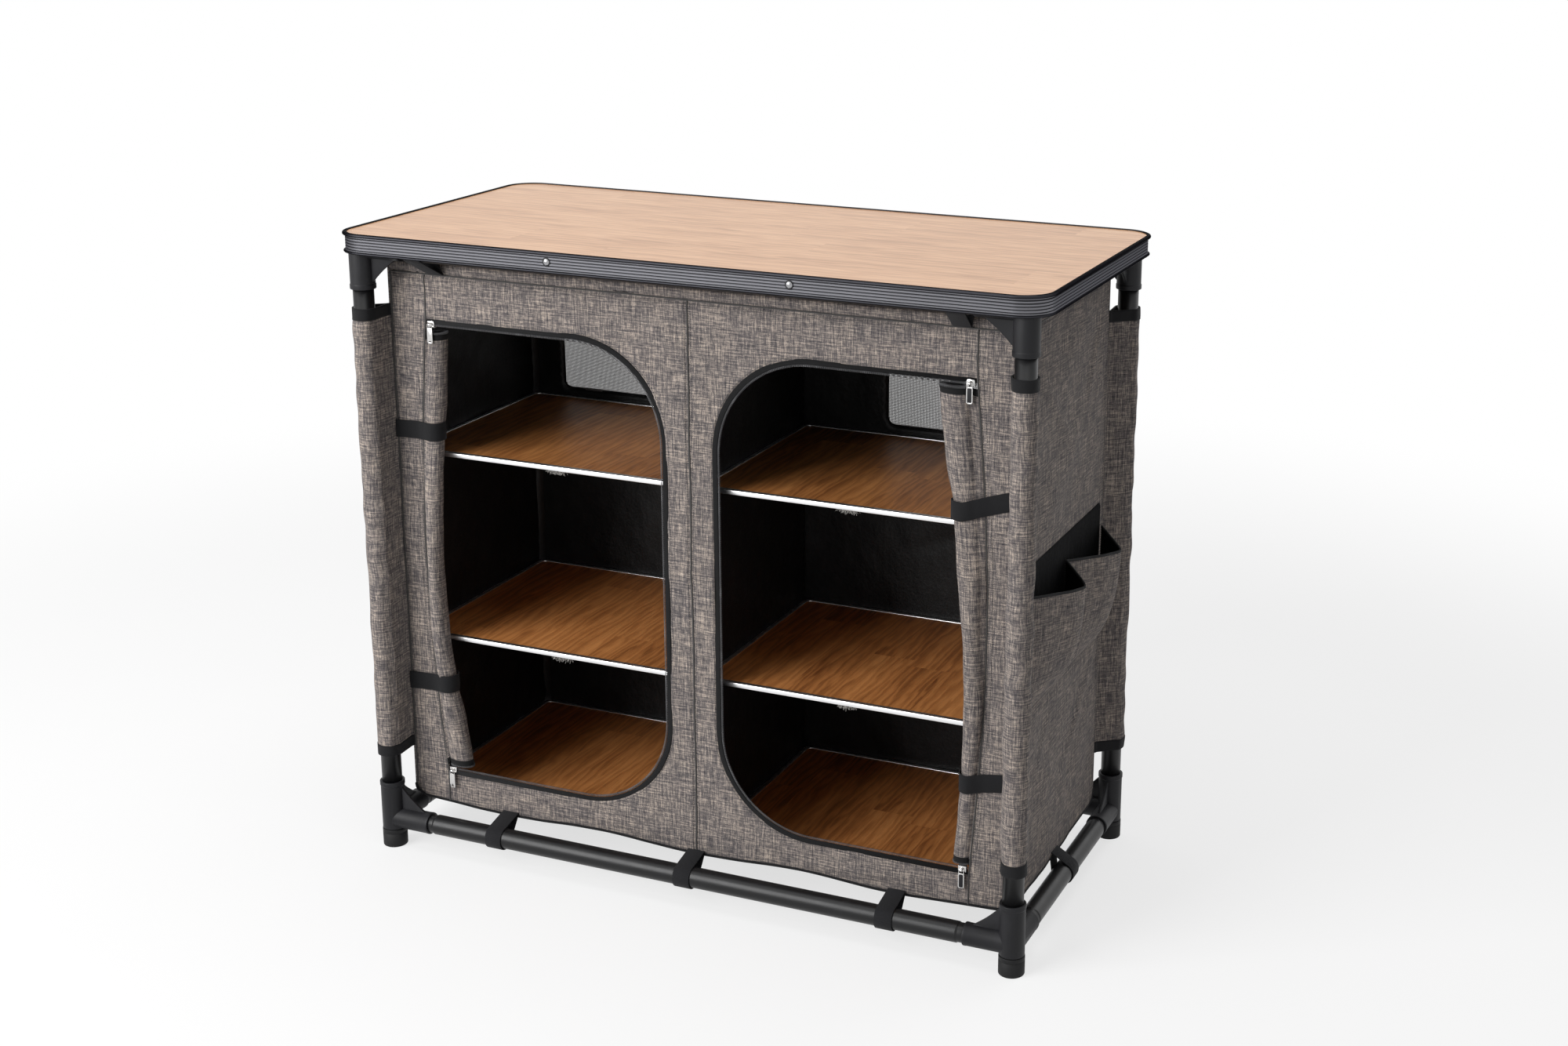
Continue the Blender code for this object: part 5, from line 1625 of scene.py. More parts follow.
    def _walls(self) -> dict[str, Panel]:
        """The four outer walls."""
        inner_x = self.half_x - self.cloth - 0.0003
        window = rounded_box(self.window_low, self.window_high, self.window_corner, 8)
        doors = [self.opening(), [(-u, v) for u, v in self.opening()]]
        windows = [window, [(-u, v) for u, v in window]]
        side = self._wall_outline(self.half_y, self.side_bottom, 0.004)
        flipped = [(-u, v) for u, v in reversed(side)]
        return {
            "front": Panel("panel_front", (0, -self.half_y, 0), (1, 0, 0), (0, 0, 1),
                           self._wall_outline(inner_x, self.bottom, looped=True), self._front_relief, doors, 0.0042),
            "rear": Panel("panel_rear", (0, self.half_y, 0), (-1, 0, 0), (0, 0, 1),
                          self._wall_outline(inner_x, self.bottom, looped=True), self._rear_relief, windows, 0.0075),
            "right": Panel("panel_right", (self.half_x, 0, 0), (0, 1, 0), (0, 0, 1), side,
                           self._side_relief, (), 0.0055),
            "left": Panel("panel_left", (-self.half_x, 0, 0), (0, -1, 0), (0, 0, 1), flipped,
                          self._side_relief, (), 0.0055)}

    def build(self) -> dict[str, Panel]:
        """Cut, hang and sew the whole cloth body.

        Returns:
            The outer walls by name.
        """
        made, walls = self.bench.finishes, self._walls()
        for label, panel in walls.items():
            piece = self.bench.put_cloth(f"cloth_wall_{label}", panel.shape().mesh(panel.name, False),
                                         self.cloth, "grey_melange_cloth", made.cloth, made.lining,
                                         nodes=[panel.name])
        self._windows(walls["rear"])
        self._linings()
        self._seams(walls)
        return walls

    def _windows(self, rear: Panel) -> None:
        """Net in the rear windows."""
        made = self.bench.finishes
        for side in Side:
            low_u, high_u = sorted(side.value * -u for u in (self.window_low[0], self.window_high[0]))
            outline = rounded_box((low_u - 0.004, self.window_low[1] - 0.004),
                                  (high_u + 0.004, self.window_high[1] + 0.004), self.window_corner, 8)
            net = Panel("net", (0, self.half_y - 0.0009, 0), rear.across, rear.up, outline,
                        lambda u, v: ripple(u, v, 35, 0.10) * 0.0006, (), 0.009)
            mesh = net.shape().mesh("net", False)
            piece = self.bench.put_cloth(f"window_net_{side.label}", mesh, 0.0002, "grey_melange_cloth",
                                         made.net, made.net)
            ring = np.array(rounded_box((low_u, self.window_low[1]), (high_u, self.window_high[1]),
                                        self.window_corner, 8))
            edge = grown_outline(ring, 0.0012)
            line = rear.place(resampled([*edge, edge[0]], 0.004)[:-1])
            across = np.cross(np.roll(line, -1, axis=0) - np.roll(line, 1, axis=0), (0.0, 1.0, 0.0))
            across /= np.linalg.norm(across, axis=1)[:, None]
            band = ribbon(line, across, 0.0075, 0.0030, looped=True)
            self.bench.put(f"window_binding_{side.label}", band.mesh("binding"), made.binding, "black_webbing")
            self.stitches.append(rear.seam([*grown_outline(ring, 0.0036), grown_outline(ring, 0.0036)[0]], 0.0016))

    def _linings(self) -> None:
        """Roof, floor and middle wall."""
        made = self.bench.finishes
        inner_x, inner_y = self.half_x - self.cloth - 0.0003, self.half_y - self.cloth - 0.0003
        level = rounded_box((-inner_x, -inner_y), (inner_x, inner_y), 0.014, 6)
        low, high = self.floor + 0.0003, self.roof - self.cloth - 0.0003
        upright = [(-inner_y, low), (inner_y, low), (inner_y, high), (-inner_y, high)]
        lead = (0, 0, self.roof - 0.0005)
        roof = Panel("roof_panel", lead, (1, 0, 0), (0, 1, 0), level,
                     self._lining_relief(41, 0.004, (inner_x, inner_y)), (), 0.008)
        floor = Panel("floor_panel", (0, 0, self.floor - 0.0012), (1, 0, 0), (0, 1, 0), level,
                      self._lining_relief(44, 0.0, (inner_x, inner_y)), (), 0.008)
        middle = Panel("divider", (self.cloth / 2, 0, 0), (0, 1, 0), (0, 0, 1), upright,
                       lambda u, v: ripple(u, v, 47, 0.10, 0.6) * 0.0003, (), 0.007)
        for panel, size in ((roof, (0.900, 0.353)), (floor, (0.900, 0.353)), (middle, (0.353, 0.763))):
            piece = self.bench.put_cloth(f"lining_{panel.name}", panel.shape().mesh(panel.name, False),
                                         self.cloth - 0.0006, "black_lining", made.lining, made.lining,
                                         nodes=[panel.name])

        self._corner_tapes()

    def _corner_tapes(self) -> None:
        """Lining tape that covers the four upright corner seams inside."""
        tapes, heights = [], np.linspace(self.floor + 0.001, self.roof - 0.001, 30)
        for side in Side:
            for end in End:
                x, y = side.value * self.corner_tape[0], end.value * self.corner_tape[1]
                across = np.array((1.0, -side.value * end.value, 0.0)) / math.sqrt(2)
                line = np.array([(x, y, height) for height in heights])
                tapes.append(ribbon(line, across, 0.0112, 0.0008).mesh("tape"))
        self.bench.put("corner_seam_tapes", merged("tapes", tapes), self.bench.finishes.lining, "black_lining")

    def _seams(self, walls: dict[str, Panel]) -> None:
        """Rows of stitching and the piped bottom edge."""
        front, rear, inner = walls["front"], walls["rear"], self.half_x - 0.006
        seam, hem = self.seam_height - 0.0045, 0.0045
        for panel in (front, rear):
            self.stitches += [panel.seam([(-inner, seam), (inner, seam)]),
                              panel.seam([(0.0045, self.bottom + 0.006), (0.0045, seam)]),
                              panel.seam([(-0.0045, self.bottom + 0.006), (-0.0045, seam)])]
        track = self.track()
        for side in Side:
            zipped = [(side.value * (u + 0.0006 * out_u), v + 0.0006 * out_v)
                      for (u, v), (out_u, out_v) in track]
            self.stitches.append(front.seam(zipped))
            for aside in (0.0035, 0.0085):
                hinge = [(side.value * (self.door_outer + self.door_bow(height) + aside), height)
                         for height in np.linspace(self.door_low, self.door_high, 60)]
                self.stitches.append(front.seam(hinge))
            corner_line = [(side.value * (self.half_x - 0.0065), 0.10), (side.value * (self.half_x - 0.0065), 0.82)]
            self.stitches.append(front.seam(corner_line))
            wall = walls[side.label]
            half = self.half_y - 0.006
            self.stitches += [wall.seam([(-half, seam), (half, seam)]),
                              wall.seam([(-half, 0.10), (-half, 0.82)]), wall.seam([(half, 0.10), (half, 0.82)])]
        self._piped(walls)
        threads = StitchGrowth().grow("stitches", lines_mesh("seam_lines", self.stitches), Pitch=0.0034,
                                      Length=0.0026, Thickness=0.00055, Finish=self.bench.finishes.thread)
        self.bench.put("topstitching", threads, self.bench.finishes.thread, "black_webbing")
        for label, panel in walls.items():
            edge = np.array([point for point in panel.outline if point[1] < self.top - 0.01])
            line = panel.place(resampled(edge, 0.006), -self.cloth / 2)
            if label in ("front", "rear"):
                line = self._clear_of_corner(line)
            across = np.gradient(line, axis=0)
            normal = np.cross(panel.across, panel.up)
            across = np.cross(across, normal)
            across /= np.linalg.norm(across, axis=1)[:, None]
            piping = ribbon(line, across, hem, self.cloth + 0.0014)
            self.bench.put(f"edge_binding_{label}", piping.mesh("piping"), self.bench.finishes.binding,
                           "black_webbing")

    def _piped(self, walls: dict[str, Panel]) -> None:
        """Thin dark bands in the seams of the walls: partly real piping, partly painted shade standing in for the seam
        grooves.
        """
        inner, high, low = self.half_x - 0.004, self.seam_height, self.bottom + 0.005
        half, proud, flush = self.half_y - 0.004, 0.0011, 0.0002
        lines = [("front", proud, [(-inner, high), (inner, high)]), ("front", proud, [(0.0, low), (0.0, high)]),
                 ("rear", proud, [(-inner, high), (inner, high)]), ("rear", proud, [(0.0, low), (0.0, high)])]
        for side in Side:
            hinge = [(side.value * (self.door_outer + self.door_bow(height) + 0.0012), height)
                     for height in np.linspace(self.door_low, self.door_high, 60)]
            foot, head = (hinge[0][0], low), (hinge[-1][0], high)
            lines += [("front", flush, [foot, *hinge, head]), (side.label, proud, [(-half, high), (half, high)])]
            lines.append(("front", flush, [(side.value * inner, low + 0.020), (side.value * inner, high)]))
        bands = [walls[label].piping(line, lift, 0.0021, 0.0014).mesh("piping") for label, lift, line in lines]
        self.bench.put("seam_piping", merged("piping", bands), self.bench.finishes.thread, "black_webbing")

    def _clear_of_corner(self, line: np.ndarray) -> np.ndarray:
        """Edge line held off the corner seams at its two ends."""
        return line[2:-2]


def grown_outline(outline: np.ndarray, by: float) -> list[Flat]:
    """Closed outline moved outwards."""
    ahead, behind = np.roll(outline, -1, axis=0), np.roll(outline, 1, axis=0)
    along = ahead - behind
    along /= np.linalg.norm(along, axis=1)[:, None]
    area = np.sum(outline[:, 0] * ahead[:, 1] - ahead[:, 0] * outline[:, 1])
    out = np.stack((along[:, 1], -along[:, 0]), axis=1) * math.copysign(by, area)
    return [tuple(point) for point in outline + out]


@dataclass
class Sleeves:
    """Cloth sleeves round the legs, bound with ribbed tape at both ends."""

    bench: Bench
    leg_x: float = 0.468
    leg_y: float = 0.213
    apex_x: float = 0.4515
    apex_y: float = 0.178
    radius: float = 0.0166
    bottom: float = 0.142
    top: float = 0.785
    binding: float = 0.016
    around: int = 72

    def _ring(self, height: float, seed: int, grow: float = 0.0) -> np.ndarray:
        """One level of the rear right sleeve, anticlockwise, starting at its seam."""
        offset = np.array((self.apex_x - self.leg_x, self.apex_y - self.leg_y))
        reach = np.linalg.norm(offset)
        heading = math.atan2(offset[1], offset[0])
        half = math.acos(self.radius / reach)
        share = np.linspace(0.0, 1.0, 60)
        angles = heading + half + (math.tau - 2 * half) * share
        heights = np.full_like(angles, height)
        wave = ripple(angles * 0.02, heights, seed, 0.055, 0.1)
        creases = np.sin(angles * 5 + height * 9 + seed) * groove(np.minimum(share, 1 - share), 0.16)
        room = self.radius + grow + np.clip(wave * 0.0009 + creases * 0.0012, -0.0008, 0.0034)
        loop = np.stack((room * np.cos(angles), room * np.sin(angles)), axis=1)
        seam = offset
        side = np.array((-offset[1], offset[0])) / reach * (0.0011 + grow)
        flap_out, flap_in = seam * 0.88 + side, seam * 0.88 - side
        path = np.vstack((seam + side, flap_out, loop, flap_in, seam - side))
        swing = self._flap_wave(height, seed)
        path[0:2] += swing[:2]
        path[-2:] += swing[:2]
        smooth = resampled(path, lengths_along(path)[-1] / (self.around - 1))
        return np.column_stack((smooth + (self.leg_x, self.leg_y), np.full(len(smooth), height)))

    def _flap_wave(self, height: float, seed: int) -> np.ndarray:
        """Small sideways drift of the flap at a height."""
        return np.array((math.sin(height * 31 + seed), math.cos(height * 23 + seed))) * 0.0004

    def _shape(self, heights: Sequence[float], seed: int, signs: tuple[int, int], grow: float) -> Shape:
        """Stack of levels, mirrored to a corner, with its face outwards."""
        rings = np.array([self._ring(height, seed, grow) for height in heights])
        count = min(len(ring) for ring in rings)
        shape = loft(rings[:, :count] * (signs[0], signs[1], 1.0), closed=True)
        if signs[0] * signs[1] < 0:
            shape = mirrored_faces(shape)
        return shape

    def build(self) -> None:
        """Make the four sleeves and their bindings."""
        made = self.bench.finishes
        for side in Side:
            for end in End:
                corner, signs = f"{side.label}_{end.label}", (side.value, end.value)
                seed = 50 + 7 * side.value + 3 * end.value
                heights = np.arange(self.bottom, self.top + 0.001, 0.0065)
                sleeve = self._shape(heights, seed, signs, 0.0)
                piece = self.bench.put_cloth(f"leg_sleeve_{corner}", sleeve.mesh("sleeve", False), 0.0013,
                                             "grey_melange_cloth", made.cloth, made.lining)
                for level, start in ((Level.BOTTOM, self.bottom - 0.0012),
                                     (Level.TOP, self.top - self.binding + 0.0012)):
                    band = self._shape(np.linspace(start, start + self.binding, 7), seed, signs, 0.0008)
                    self.bench.put_cloth(f"sleeve_binding_{corner}_{level.label}",
                                         band.mesh("binding", False), 0.0024, "black_webbing",
                                         made.binding, made.binding)


def mirrored_faces(shape: Shape) -> Shape:
    """Same shape with its faces looking the other way."""
    corners, start = [], 0
    for face in shape.faces:
        corners.append(shape.weave[start:start + len(face)][::-1])
        start += len(face)
    return Shape(shape.points, [face[::-1] for face in shape.faces], np.vstack(corners))


@dataclass
class RolledDoors:
    """Doors rolled up beside their openings, with zip halves on them and two ties each."""

    bench: Bench
    cloth: CupboardCloth
    tops: dict[Side, float] = field(default_factory=lambda: {Side.RIGHT: 0.7555, Side.LEFT: 0.7500})
    bottom: float = 0.121
    radius: float = 0.0138
    core: float = 0.0030
    turns: float = 6.6
    per_turn: int = 26
    tape: float = 0.009
    door_width: float = 0.3625
    straight: float = 0.2225
    corner: float = 0.140
    tie_heights: tuple[float, float] = (0.238, 0.608)
    tie_width: float = 0.025
    lean: dict[Side, Curve] = field(default_factory=lambda: {
        Side.RIGHT: ((0.0, 0.08, 0.23, 0.50, 0.65, 0.90, 1.0), (0.021, 0.018, 0.010, 0.002, -0.003, -0.003, 0.0)),
        Side.LEFT: ((0.0, 0.24, 0.50, 0.70, 0.82, 1.0), (0.0, 0.0, -0.003, -0.004, -0.001, 0.005))})
    girth: dict[Side, Curve] = field(default_factory=lambda: {
        Side.RIGHT: ((0.0, 0.08, 0.33, 0.50, 0.65, 1.0), (1.60, 1.52, 1.20, 1.08, 1.0, 0.90)),
        Side.LEFT: ((0.0, 0.24, 0.50, 0.70, 0.82, 1.0), (0.95, 0.95, 0.87, 0.87, 0.96, 1.30))})
    tie_rise: dict[tuple[Side, bool], Flat] = field(default_factory=lambda: {
        (Side.RIGHT, True): (-0.008, 0.013), (Side.RIGHT, False): (-0.002, 0.007),
        (Side.LEFT, True): (0.006, 0.004), (Side.LEFT, False): (0.008, 0.004)})

    def axis(self, height: float, side: Side) -> np.ndarray:
        """Middle of a roll at a height, as if on the right, with its lean into the opening."""
        share = (self.tops[side] - height) / (self.tops[side] - self.bottom)
        y = -0.168 - 0.010 * math.sin(math.pi * share)
        behind = max(0.0, y + 0.177)
        x = self.cloth.door_outer + self.cloth.door_bow(height) - math.sqrt(0.0155 ** 2 - behind ** 2)
        return np.array((x - 0.0003 - np.interp(share, *self.lean[side]), y))

    def breadth(self, height: float, side: Side) -> float:
        """How much broader than round a roll is at a height."""
        share = (self.tops[side] - height) / (self.tops[side] - self.bottom)
        return float(np.interp(share, *self.girth[side]))

    def _section(self) -> tuple[np.ndarray, np.ndarray]:
        """Spiral round the axis, outermost first, and the cloth length along it."""
        share = np.linspace(0.0, 1.0, round(self.turns * self.per_turn))
        angles = -0.35 - math.tau * self.turns * share
        radii = self.radius + (self.core - self.radius) * share
        spiral = np.stack((radii * np.cos(angles), radii * np.sin(angles)), axis=1)
        return spiral, lengths_along(spiral)

    def _rings(self, heights: np.ndarray, side: Side) -> np.ndarray:
        """Rolled cloth at levels between its two ends; inner turns stop short at the round corners."""
        spiral, run = self._section()
        past = np.clip(run - self.straight, 0.0, self.corner * 0.93)
        short = np.minimum(self.corner - np.sqrt(self.corner ** 2 - past ** 2), 0.030)
        span = self.tops[side] - self.bottom
        rings = []
        for height in heights:
            share = (height - self.bottom) / span
            levels = self.bottom + short + share * (span - 2 * short)
            waist = 1 - 0.10 * sum(math.exp(-((height - tie) / 0.020) ** 2) for tie in self.tie_heights)
            swell = waist * (1 + 0.035 * math.sin(height * 41) + 0.020 * math.sin(height * 97 + 1))
            angle = np.arctan2(spiral[:, 1], spiral[:, 0])
            oval = 1 + 0.05 * np.sin(2 * angle + height * 13) + 0.025 * np.sin(3 * angle - height * 29)
            middle = self.axis(height, side)
            flat = spiral * (swell * oval)[:, None] * (self.breadth(height, side), 1.0) + middle
            ring = np.column_stack((flat, levels))
            hinge_x = self.cloth.door_outer + self.cloth.door_bow(height)
            tail = np.array([(hinge_x + 0.001, -0.1785, height), (hinge_x - 0.0005, -0.1805, height)])
            rings.append(np.vstack((tail, ring)))
        return np.array(rings)

    def build(self) -> None:
        """Make both rolls with their tapes, coils and ties."""
        made = self.bench.finishes
        ends = np.array((self.bottom, self.bottom + self.tape * 0.5, self.bottom + self.tape))
        coils = CoilGrowth()
        for side in Side:
            top = self.tops[side]
            body = np.linspace(self.bottom + self.tape, top - self.tape, 64)[1:-1]
            heights = np.concatenate((ends, body, top - (ends[::-1] - self.bottom)))
            mirror = np.array((side.value, 1.0, 1.0))
            rings = self._rings(heights, side) * mirror
            shape = loft(rings, closed=False)
            if side is Side.RIGHT:
                shape = mirrored_faces(shape)
            mesh = shape.mesh("roll", False)
            piece = self.bench.put_cloth(f"rolled_cloth_{side.label}", mesh, 0.0011, "grey_melange_cloth",
                                         made.cloth, made.cloth, nodes=[f"rolled_door_{side.label}"])
            mesh.materials.append(made.zip_tape)
            mesh.materials.append(made.zip_tape)
            columns = rings.shape[1] - 1
            marks = np.zeros(len(mesh.polygons), dtype=np.int32)
            marks[:columns * 2] = 2
            marks[-columns * 2:] = 2
            mesh.polygons.foreach_set("material_index", marks)
            lines = [rings[0, 2:] - (0, 0, 0.0006), rings[-1, 2:] + (0, 0, 0.0004)]
            coil = coils.grow("roll_coil", lines_mesh("coil_lines", lines), Pitch=0.0019, Width=0.0014,
                              Height=0.0028, Filament=0.0007, Facing=(0.0, 0.0, 1.0), Finish=made.coil)
            self.bench.put(f"door_coil_{side.label}", coil, made.coil, "black_webbing")
            bands = [self._tie(height, side) for height in self.tie_heights]
            self.bench.put(f"door_ties_{side.label}", merged("ties", bands), made.binding, "black_webbing")

    def _tie(self, height: float, side: Side) -> bpy.types.Mesh:
        """Band from the corner seam over the front of the roll and round behind it."""
        middle, reach = self.axis(height, side), self.radius * 0.93 + 0.0016
        broad, (at_roll, at_corner) = self.breadth(height, side), self.tie_rise[(side, height > 0.4)]
        hinge_x = self.cloth.door_outer + self.cloth.door_bow(height)
        face = -self.cloth.half_y - 0.0016
        path = [(0.4505, face - 0.0010), (0.4420, face - 0.0004), (0.4300, face), (hinge_x + 0.008, face - 0.0004)]
        path += [(middle[0] + reach * broad * math.cos(angle), middle[1] + reach * math.sin(angle))
                 for angle in np.radians(np.linspace(-50, -322, 44))]
        line = eased(resampled(path, 0.0018), 8)
        rise = np.interp(line[:, 0], (middle[0], 0.4505), (at_roll, at_corner))
        points = np.column_stack((line, height + rise)) * (side.value, 1.0, 1.0)
        return ribbon(points, (0, 0, 1), self.tie_width, 0.0013).mesh("tie")


@dataclass
class Zips:
    """Tapes and coils round the openings, with sliders and pulls."""

    bench: Bench
    cloth: CupboardCloth
    plane: float = -0.178
    tape: float = 0.0071
    coil_inset: float = 0.0103
    slider_x: float = 0.3865
    slider_length: float = 0.011
    tape_reach: float = 0.006
    inner: float = 0.0018
    plate: float = 0.001
    standoff: float = 0.003
    pull_length: float = 0.026
    pull_width: float = 0.0084
    pull_thickness: float = 0.0012

    def build(self) -> None:
        """Make the zips, the sliders and the pulls."""
        made, coils = self.bench.finishes, CoilGrowth()
        track = self.cloth.track(36)
        for side in Side:
            edge = np.array([(side.value * u, v) for (u, v), _ in track])
            out = np.array([(side.value * u, v) for _, (u, v) in track])
            middle = edge + out * (0.0011 - self.cloth.lap - self.tape / 2)
            line = np.column_stack((middle[:, 0], np.full(len(middle), self.plane - 0.0006), middle[:, 1]))
            across = np.column_stack((out[:, 0], np.zeros(len(out)), out[:, 1]))
            tape = ribbon(line, across, self.tape, 0.0014)
            self.bench.put(f"zip_tape_{side.label}", tape.mesh("tape"), made.zip_tape, "black_webbing",
                           nodes=[f"zip_{side.label}"])
            track_line = edge - out * self.coil_inset
            points = np.column_stack((track_line[:, 0], np.full(len(edge), self.plane), track_line[:, 1]))
            coil = coils.grow("zip_coil", lines_mesh("zip_line", [resampled(points, 0.003)]), Pitch=0.0017,
                              Width=0.0028, Height=0.0022, Filament=0.00075, Facing=(0.0, -1.0, 0.0),
                              Finish=made.coil)
            self.bench.put(f"zip_coil_{side.label}", coil, made.coil, "black_webbing")
            for level in Level:
                self._slider(side, level)

    def _slider(self, side: Side, level: Level) -> None:
        """Slider on its coil and the pull that hangs from it."""
        made, label = self.bench.finishes, f"{side.label}_{level.label}"
        coil = (self.cloth.door_high - self.coil_inset if level is Level.TOP
                else self.cloth.door_low + self.coil_inset)
        x, up, nose = side.value * self.slider_x, level.value, -side.value
        free = -(self.inner + 0.0012)
        outline = [(-5.5, free), (-5.5, 4.6), (-4.6, 5.6), (1.2, 6.0), (3.8, 5.6), (5.5, 3.6), (5.5, free)]
        outline = [(nose * u / 1000 if abs(u) > 1 else u, up * (v / 1000 if abs(v) > 1 else v))
                   for u, v in outline]
        plates = []
        for face in (-1, 1):
            y = self.plane + face * (self.inner + self.plate / 2)
            plates.append(plate_mesh("plate", outline, (), self.plate, 0.0003,
                                     axes((1, 0, 0), (0, 0, 1), (x, y, coil))))
        web = rounded_box((-0.0055, -self.inner - self.plate * 0.5), (0.0055, self.inner + self.plate * 0.5),
                          0.0008, 3)
        plates.append(plate_mesh("web", web, (), 0.0012, 0.0003,
                                 axes((1, 0, 0), (0, 1, 0), (x, self.plane, coil - up * 0.0024))))
        axis_y = self.plane - self.inner - self.plate - self.standoff
        axis_z = coil + up * (self.tape_reach - self.inner - 0.0012) / 2
        foot = self.plane - self.inner - self.plate * 0.6
        path = [(foot, axis_z + 0.0025), (foot - 0.0012, axis_z + 0.0021)]
        path += arc((axis_y, axis_z), 0.0017, 75, 210, 14)
        path += [(foot - 0.0012, axis_z - 0.0021), (foot, axis_z - 0.0025)]
        line = np.array([(x, y, z) for y, z in path])
        bridge = ribbon(line, (1, 0, 0), 0.0030, 0.0009).mesh("bridge")
        self.bench.put(f"cast_slider_{label}", merged("slider", [*plates, bridge]), made.nickel, "nickel",
                       f"zip_slider_{label}", [f"zip_slider_{label}"])
        self._pull(side, label, (x, axis_y, axis_z))

    def _pull(self, side: Side, label: str, hinge: tuple[float, float, float]) -> None:
        """Pull tab: plain with an eyelet on the left, a frame with a dark inlay on the right."""
        made, half, bar = self.bench.finishes, self.pull_width / 2, self.pull_thickness / 2
        tip, body, place = -self.pull_length, f"zip_pull_{label}", axes((1, 0, 0), (0, 0, 1), hinge)
        outline = [(half - 0.0008, bar), (-half + 0.0008, bar), (-half + 0.0003, -0.004), (-half, -0.008)]
        outline += arc((0.0028 - half, tip + 0.0028), 0.0028, 180, 90, 8)
        outline += arc((half - 0.0028, tip + 0.0028), 0.0028, 270, 90, 8)
        outline += [(half, -0.008), (half - 0.0003, -0.004)]
        slot = rounded_box((0.0013 - half, -0.0046), (half - 0.0013, -bar), 0.0004, 3)
        if side is Side.LEFT:
            holes = [slot, rounded_box((-0.0018, tip + 0.0020), (0.0018, tip + 0.0038), 0.00085, 5)]
        else:
            holes = [slot, rounded_box((0.0014 - half, tip + 0.0016), (half - 0.0014, -0.0062), 0.0016, 6)]
            inlay = rounded_box((0.0012 - half, tip + 0.0014), (half - 0.0012, -0.0060), 0.0018, 6)
            dark = plate_mesh("inlay", inlay, (), self.pull_thickness * 0.5, 0.0002, place)
            self.bench.put(f"pull_inlay_{label}", dark, made.plastic, "nickel", body)
        tab = plate_mesh("tab", outline, holes, self.pull_thickness, 0.00025, place)
        self.bench.put(f"cast_pull_{label}", tab, made.nickel, "nickel", body, [body])


@dataclass
class Shelves:
    """Boards with a bright edge strip and fluff of their fasteners."""

    bench: Bench
    near: float = 0.0013
    far: float = 0.4502
    front: float = -0.160
    rear: float = 0.1767
    corner: float = 0.014
    thickness: float = 0.0065
    lip: float = 0.007
    step: float = 0.001
    tops: tuple[tuple[str, float], ...] = (("upper", 0.579), ("middle", 0.310), ("lower", 0.0748))

    def _ring(self, side: Side, inset: float, height: float) -> np.ndarray:
        """Points round a shelf at an inset and a height."""
        low, high = sorted((side.value * self.near, side.value * self.far))
        outline = rounded_box((low + inset, self.front + inset), (high - inset, self.rear - inset),
                              self.corner - inset, 10)
        return np.array([(u, v, height) for u, v in outline])

    def build(self) -> None:
        """Make the six shelves."""
        made = self.bench.finishes
        for side in Side:
            for name, top in self.tops:
                low = top - self.thickness
                profile = [(self.lip, top - self.step), (self.lip, top - 0.0003), (self.lip - 0.0003, top),
                           (0.0010, top), (0.0003, top - 0.0003), (0.0, top - 0.0010),
                           (0.0, low + 0.0010), (0.0003, low + 0.0003), (0.0010, low),
                           (self.lip - 0.0003, low), (self.lip, low + 0.0003), (self.lip, low + self.step)]
                rings = np.array([self._ring(side, inset, height) for inset, height in profile])
                strip = loft(rings.transpose(1, 0, 2), looped=True).mesh("strip")
                strip.set_sharp_from_angle(angle=math.radians(50))
                self.bench.put(f"edge_strip_{side.label}_{name}", strip, made.trim, "brown_board")
                rings = np.array([self._ring(side, 0.0012, low + self.step), self._ring(side, 0.0012, top - self.step)])
                board = loft(rings, capped=True).mesh("board")
                board.set_sharp_from_angle(angle=math.radians(40))
                self.bench.put(f"shelf_board_{side.label}_{name}", board, made.shelf_wood, "brown_board",
                               nodes=[f"shelf_{side.label}_{name}"])
        self._tufts()

    def _tufts(self) -> None:
        """Fluff under the middle of the front edges of the free shelves."""
        chance, places = np.random.default_rng(73), []
        for x, height in ((-0.215, 0.5725), (0.215, 0.5725), (-0.215, 0.3035), (0.215, 0.3035)):
            spots = chance.uniform((-0.013, 0.001, 0.0), (0.013, 0.007, 0.0), (70, 3))
            places += [tuple(spot) for spot in spots + (x, self.front, height)]
        points = bpy.data.meshes.new("tuft_places")
        points.from_pydata(places, [], [])
        made = self.bench.finishes
        tufts = TuftGrowth().grow("tufts", points, Length=0.006, Thickness=0.0004, Spread=0.9, Seed=5,
                                  Finish=made.fluff)
        self.bench.put("fastener_fluff", tufts, made.fluff, "black_webbing")


